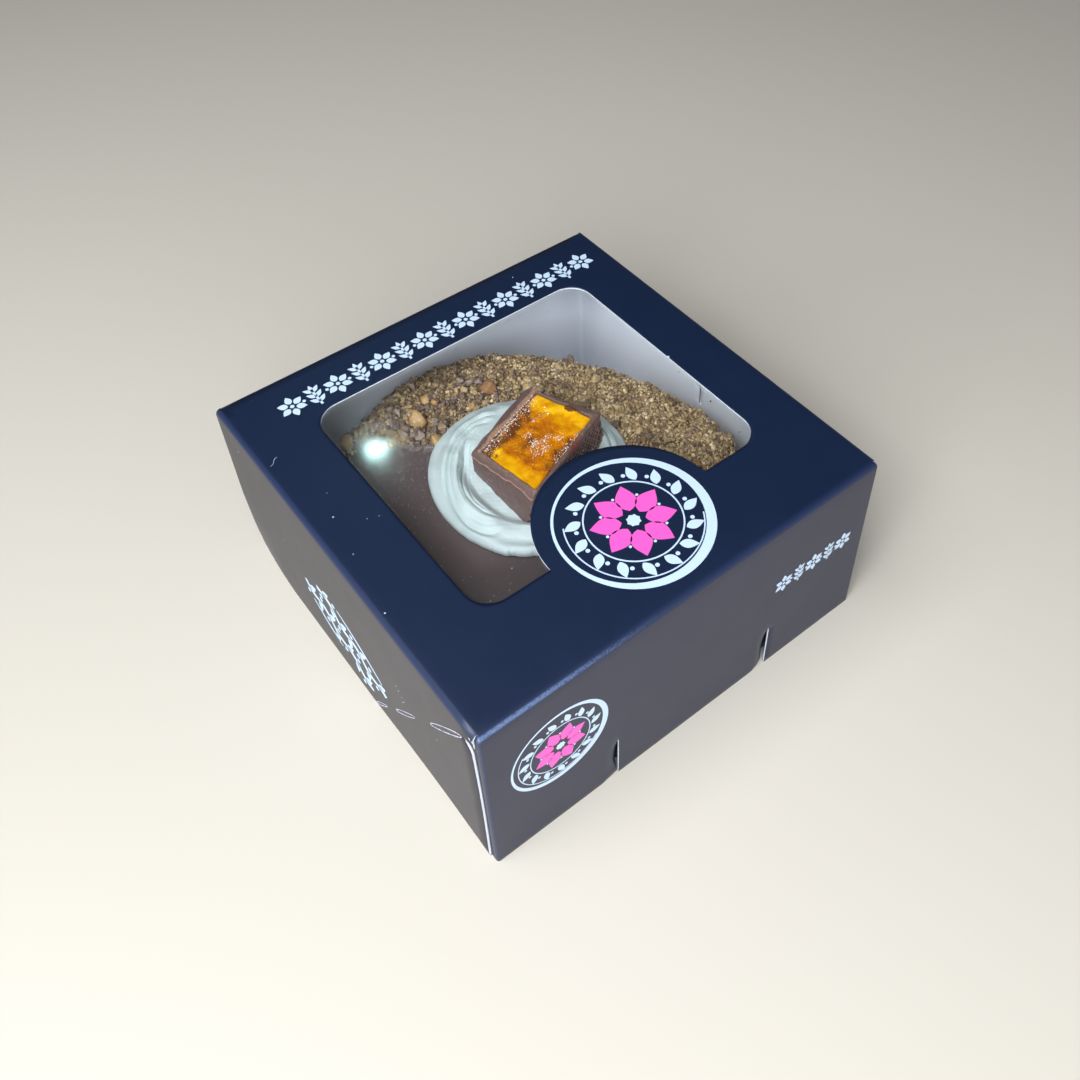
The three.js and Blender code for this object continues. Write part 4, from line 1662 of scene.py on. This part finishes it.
def blisters(u, v, size, seed):
    # rounded domes side by side, as on boiled sugar
    draw = np.random.default_rng(seed)
    count = int(chunk["length"] * chunk["width"] / size ** 2)
    centres = draw.uniform(-0.5, 0.5, (count, 2)) * (chunk["length"], chunk["width"])
    gap = np.hypot(u[..., None] - centres[:, 0], v[..., None] - centres[:, 1]).min(axis=-1)
    return np.sqrt(np.clip(1 - (gap / size) ** 2, 0, 1))


def honeycombRelief(u, v):
    calm = smooth(-u, 8.0, 10.5)                 # the smooth band at the front left end
    places = np.column_stack([u, v])
    bumps = blisters(u, v, 2.6, 81) * 0.42 + blisters(u, v, 1.1, 82) * 0.16
    bumps = bumps + ripple(places, 6.0, 83) * 0.12
    grit = ripple(places, 0.9, 84) * 0.07 * smooth(u, 9.0, 5.0)
    pit = spot(u, v, (-10.9, 5.6), (1.1, 0.6))
    return calm, (bumps - 0.35) * (1 - 0.7 * calm) + grit * (1 - calm), pit


block = {
    "columns": 150,         # of the fine grid over its top
    "rows": 106,
    "depth": 6.0,           # how far its sides run down inside the coat
    # a drip of caramel over the right end's edge
    "dripAt": (12.9, -2.4),
    "dripReach": (1.7, 2.3),
    "dripRise": 0.9,
}


def makeHoneycomb():
    # the top, whose last rows run down the sides
    length, width = chunk["length"] / 2, chunk["width"] / 2
    across = np.linspace(-length, length, block["columns"])
    u, v = np.meshgrid(across, np.linspace(-width, width, block["rows"]))
    inward = np.minimum(length - np.abs(u), width - np.abs(v))
    calm, bumps, pit = honeycombRelief(u.ravel(), v.ravel())
    calm, bumps, pit = (np.reshape(values, u.shape) for values in (calm, bumps, pit))
    drop = 0.5 * smooth(inward, 0.7, 0.0)
    drip = spot(u, v, block["dripAt"], block["dripReach"])
    level = 0.25 + drop * (1 - drip) - bumps * smooth(inward, 0.0, 0.7) + 0.9 * pit
    level = level - block["dripRise"] * drip
    patches = np.reshape(ripple(np.column_stack([u.ravel(), v.ravel()]), 4.5, 85), u.shape) * 0.22
    char = 0.95 * smooth(v, width - 6.4, width - 1.6) * smooth(u, 12.0, 6.0) + 0.9 * pit
    char = char + 0.7 * spot(u, v, (-3.0, 0.5), (6.0, 4.5))
    char = char + 0.4 * smooth(-v, 1.0, width) * smooth(u, 7.0, 1.0)
    front = smooth(-v, width - 3.6, width - 0.6)
    char = char + 0.45 * front * smooth(u, 10.5, 6.5) * smooth(u, -9.5, -5.0)
    char = char + 0.35 * smooth(u, 12.2, 13.2) * smooth(v, -4.0, 2.0)
    char = char + patches - 0.7 * smooth(u, 4.0, 8.5) * smooth(width - v, 1.0, 3.0)
    char = char - 0.8 * calm * smooth(v, 7.6, 5.0)
    char = char + 0.22 * smooth(-u, 7.0, 13.0) * smooth(-v, 1.0, 8.0)
    char = np.maximum(char, smooth(drip, 0.3, 0.6))
    glow = 0.25 + 0.5 * smooth(u, 4.0, 12.5) + 0.42 * calm
    u, v, char, glow = (np.pad(values, 1, mode="edge") for values in (u, v, char, glow))
    level = np.pad(level, 1, constant_values=block["depth"])
    body = Patchwork()
    body.grid(chunkPlace(u, v, level), (0, 0, 1))
    piece = makePiece("honeycomb_fine", body.points, body.faces, [honeycomb])
    addMarks(piece, burnt=np.clip(char, 0, 1), blush=np.clip(glow, 0, 1))
    with reshaping(weld(piece)) as shape:
        bmesh.ops.holes_fill(shape, edges=[edge for edge in shape.edges if edge.is_boundary], sides=0)
    settle(piece, "base", "honeycomb", "honeycomb_core")


def makeSugar():
    # glittering crystals in clusters on the burnt top, and a frosted line along its back and front edges
    draw = np.random.default_rng(91)
    clusters = [            # where, and how many crystals
        (-2.2, -0.8, 80), (-2.0, -4.0, 70), (0.8, -2.4, 60), (-4.2, -2.6, 50),
        (3.0, -5.4, 40), (-0.4, 2.4, 40), (4.6, 4.2, 20), (8.6, 3.0, 14),
    ]
    u = [draw.normal(x, 0.95, count) for x, _, count in clusters]
    v = [draw.normal(y, 0.7, count) for _, y, count in clusters]
    back, front = 480, 120
    edge = chunk["width"] / 2
    u += [draw.uniform(-12.5, 11.5, back), draw.uniform(-4, 9, front)]
    v += [edge + 0.3 - draw.gamma(1.4, 0.7, back), -edge - 0.2 + draw.gamma(1.2, 0.5, front)]
    u, v = np.concatenate(u), np.concatenate(v)
    bumps = honeycombRelief(u, v)[1]
    sizes = 0.18 + 0.42 * draw.beta(1.2, 3.5, len(u))
    isRim = np.abs(v) > edge - 0.1
    places = chunkPlace(u, v, np.where(isRim, -0.3, 0.2 - bumps) - sizes * 0.25)
    tones = draw.uniform(0, 1, len(u))
    piece = grains("sugar_grains", places, sizes, tones, crystal, 92, (1, 0.75, 0.45), 0.4)
    settle(piece, "base", "honeycomb")


dust = {
    "specks": 260,          # over the whole film
    "margin": 7,            # which they keep from its edges
    # the veil is partly real dust and partly painted light for the glint's lit haze
    "veil": 1150,           # finer ones, close together round one place
    "veilCentre": (-31.0, 19.5),
    "veilSpread": (9, 12),
    "onBoard": 46,
}


def makeDust():
    # fine white specks on the film and the board
    draw = np.random.default_rng(95)
    count, margin = dust["specks"], dust["margin"]
    x = draw.uniform(filmLow[0] + margin, filmHigh[0] - margin, count)
    y = draw.uniform(filmLow[1] + margin, filmHigh[1] - margin, count)
    sizes = 0.11 + 0.28 * draw.beta(1.2, 4.5, count)
    # the veil: fine specks close round the glint, partly real dust and partly painted light standing in
    # for the haze that the glint lights there
    veil, middle, reach = dust["veil"], dust["veilCentre"], dust["veilSpread"]
    veilX = np.clip(draw.normal(middle[0], reach[0], veil), window["left"] + 0.5, 30)
    veilY = np.clip(draw.normal(middle[1], reach[1], veil), window["front"] + 1, window["back"] - 1)
    x, y = np.append(x, veilX), np.append(y, veilY)
    sizes = np.concatenate([sizes, draw.uniform(0.05, 0.15, veil)])
    count += veil
    places = np.column_stack([x, y, np.full(count, filmHigh[2] + 0.02)])
    px = draw.uniform(-half + 2, half - 2, dust["onBoard"])
    py = draw.uniform(-half + 2, half - 2, dust["onBoard"])
    isPanel = (px < window["left"]) | (px > window["right"])
    isPanel = isPanel | (py < window["front"] - 1) | (py > window["back"])
    onBoard = np.column_stack([px[isPanel], py[isPanel], np.full(isPanel.sum(), top - 0.15)])
    places = np.concatenate([places, onBoard])
    sizes = np.concatenate([sizes, 0.12 + 0.2 * draw.beta(1.2, 4, isPanel.sum())])
    inWindow = [windowFrontAt(x) < y for x, y in places[:count, :2]] + [True] * int(isPanel.sum())
    places, sizes = places[inWindow], sizes[inWindow]
    piece = grains("dust_specks", places, sizes, np.ones(len(sizes)), sugar, 96, (1, 1, 0.5), 0.2)
    settle(piece, "lid", "clear_film")


navy = printedFinish()
board = boardFinish()
rawEdge = edgeFinish()
film = filmFinish()
glazed = doughnutFinish()
goldCrumb = crumbFinish(
    "golden_crumb",
    (0.0, paint(110, 90, 70)),
    (0.3, paint(150, 126, 94)),
    (0.65, paint(190, 164, 122)),
    (1.0, paint(230, 208, 168)),
)
clodCrumb = crumbFinish(
    "crumb_clod",
    (0.0, paint(108, 88, 70)),
    (0.4, paint(154, 130, 98)),
    (1.0, paint(208, 180, 136)),
    rough=0.4,
)
cocoaCrumb = crumbFinish(
    "cocoa_crumb",
    (0.0, paint(86, 67, 57)),
    (0.5, paint(122, 101, 90)),
    (1.0, paint(164, 144, 132)),
    rough=0.35,
)
toffee = crumbFinish(
    "toffee",
    (0.0, paint(112, 86, 60)),
    (0.5, paint(160, 122, 76)),
    (1.0, paint(198, 162, 108)),
    gloss=0.2,
    rough=0.25,
)
amber = crumbFinish(
    "amber_shard",
    (0.0, paint(92, 66, 54)),
    (1.0, paint(166, 122, 82)),
    gloss=0.3,
    rough=0.2,
)
whipped = creamFinish()
chocolate = chocolateFinish()
honeycomb = honeycombFinish()
sugar = sugarFinish()
crystal = crystalFinish()
whiteInk = inkFinish("white_ink", paint(198, 217, 240), paint(176, 194, 218))
pinkInk = inkFinish("pink_ink", paint(238, 93, 192), paint(224, 80, 178))
scuffInk = inkFinish("rubbed_white", paint(196, 198, 222), paint(120, 124, 156))
fleckInk = inkFinish("pale_fleck", paint(206, 214, 230), paint(150, 160, 186))
print("finishes made")

makeLid()
makeTray()
makeBackFold(panelRear, backTop)
makeFilm()
makePrint()
makeDoughnut()
makeCrumbs()
makeLumps()
makeStrays()
makeCream()
makeCoat()
makeHoneycomb()
makeSugar()
makeDust()


studio = {
    "floor": paint(208, 199, 188),
    "floorCloud": paint(204, 194, 183),
    "floorReach": 4000,
    "target": (0, 0, 30),   # what the lamps point at
    "front": 0.6,           # the world's brightness near the horizon in front, behind, and overhead
    "behind": 0.12,
    "zenith": 0.03,
    "lamps": [              # name, place, size, watts, colour
        ("left_low", (-900, -90, 300), (640, 400), 3.0, (0.90, 0.97, 1.0)),
        ("front_low", (-120, -900, 300), (640, 400), 2.0, (0.90, 0.97, 1.0)),
        ("key", (-380, -330, 440), (420, 420), 4.8, (0.90, 0.97, 1.0)),
        ("high", (-330, -25, 715), (460, 460), 3.8, (0.92, 0.97, 1.0)),
    ],
    "glint": {"towards": (0.258, 0.637, 0.727), "from": (-34.1, 22.5, 57.2), "distance": 760, "size": 16,
              "watts": 0.037, "colour": (0.62, 1.0, 0.96)},
}


def lamp(name, place, target, size, watts, colour, shape="RECTANGLE"):
    data = bpy.data.lights.new(name, "AREA")
    data.shape = shape
    data.size = size[0] * mm
    data.size_y = size[1] * mm
    data.energy = watts
    data.color = colour
    made = bpy.data.objects.new(name, data)
    bpy.context.scene.collection.objects.link(made)
    made.location = Vector(place) * mm
    made.rotation_euler = (Vector(target) - Vector(place)).to_track_quat("-Z", "Y").to_euler()
    return made


def makeSky():
    # pale near the horizon, more so in front, and dark above, so that the lid keeps its deep navy
    world = bpy.data.worlds.new("studio")
    bpy.context.scene.world = world
    sky = Graph(world)
    direction = sky.node("ShaderNodeTexCoord", {}, {}, "Generated")
    ahead, above = sky.parts(direction, "YZ")
    low = sky.step(ahead, 0.7, -0.7, studio["behind"], studio["front"], "LINEAR")
    strength = sky.step(above, 0.05, 0.52, low, studio["zenith"])
    inputs = {"Color": (0.96, 0.98, 1.0, 1.0), "Strength": strength}
    light = sky.node("ShaderNodeBackground", {}, inputs)
    sky.node("ShaderNodeOutputWorld", {}, {"Surface": light})


def makeStage():
    finish = Finish("pale_floor")
    cloud = finish.grain(180.0, 2.0)
    fine = finish.grain(2.0, 2.0)
    colour = finish.mix(cloud * 0.4, studio["floor"], studio["floorCloud"])
    finish.surface(Base_Color=colour, Roughness=0.7 + 0.1 * fine)
    reach = studio["floorReach"]
    points = [(-reach, -reach, 0), (reach, -reach, 0), (reach, reach, 0), (-reach, reach, 0)]
    floor = makePiece("studio_floor", points, [(0, 1, 2, 3)], [finish])
    makeSky()
    for name, place, size, watts, colour in studio["lamps"]:
        lamp(name, place, studio["target"], size, watts, colour)
    glint = studio["glint"]
    place = Vector(glint["from"]) + Vector(glint["towards"]) * glint["distance"]
    size = (glint["size"], glint["size"])
    lamp("window_glint", place, glint["from"], size, glint["watts"], glint["colour"], "DISK")
    bpy.context.scene.view_settings.view_transform = "Standard"
    print("floor and lights placed")


seenFrom = {
    "azimuth": -37.931,
    "elevation": 44.956,
    "roll": -0.749,
    "distance": 352.86,
    "target": (42.117, 29.149, 25.0),
    "lens": 39.106,
    "sensor": 36,
    "shift": (-0.055, -0.14),
}


def makeCamera():
    azimuth, elevation = math.radians(seenFrom["azimuth"]), math.radians(seenFrom["elevation"])
    back = Vector((
        math.sin(azimuth) * math.cos(elevation),
        -math.cos(azimuth) * math.cos(elevation),
        math.sin(elevation),
    ))
    level = (-back).cross(Vector((0, 0, 1))).normalized()
    upright = level.cross(-back)
    roll = math.radians(seenFrom["roll"])
    right = math.cos(roll) * level + math.sin(roll) * upright
    up = -math.sin(roll) * level + math.cos(roll) * upright
    data = bpy.data.cameras.new("view")
    data.lens = seenFrom["lens"]
    data.sensor_width = seenFrom["sensor"]
    data.shift_x, data.shift_y = seenFrom["shift"]
    data.clip_start = 0.01
    data.clip_end = 20
    camera = bpy.data.objects.new("view", data)
    bpy.context.scene.collection.objects.link(camera)
    place = (Vector(seenFrom["target"]) + back * seenFrom["distance"]) * mm
    camera.matrix_world = Matrix.Translation(place) @ Matrix((right, up, back)).transposed().to_4x4()
    bpy.context.scene.camera = camera
    print("camera placed")


makeStage()
makeCamera()
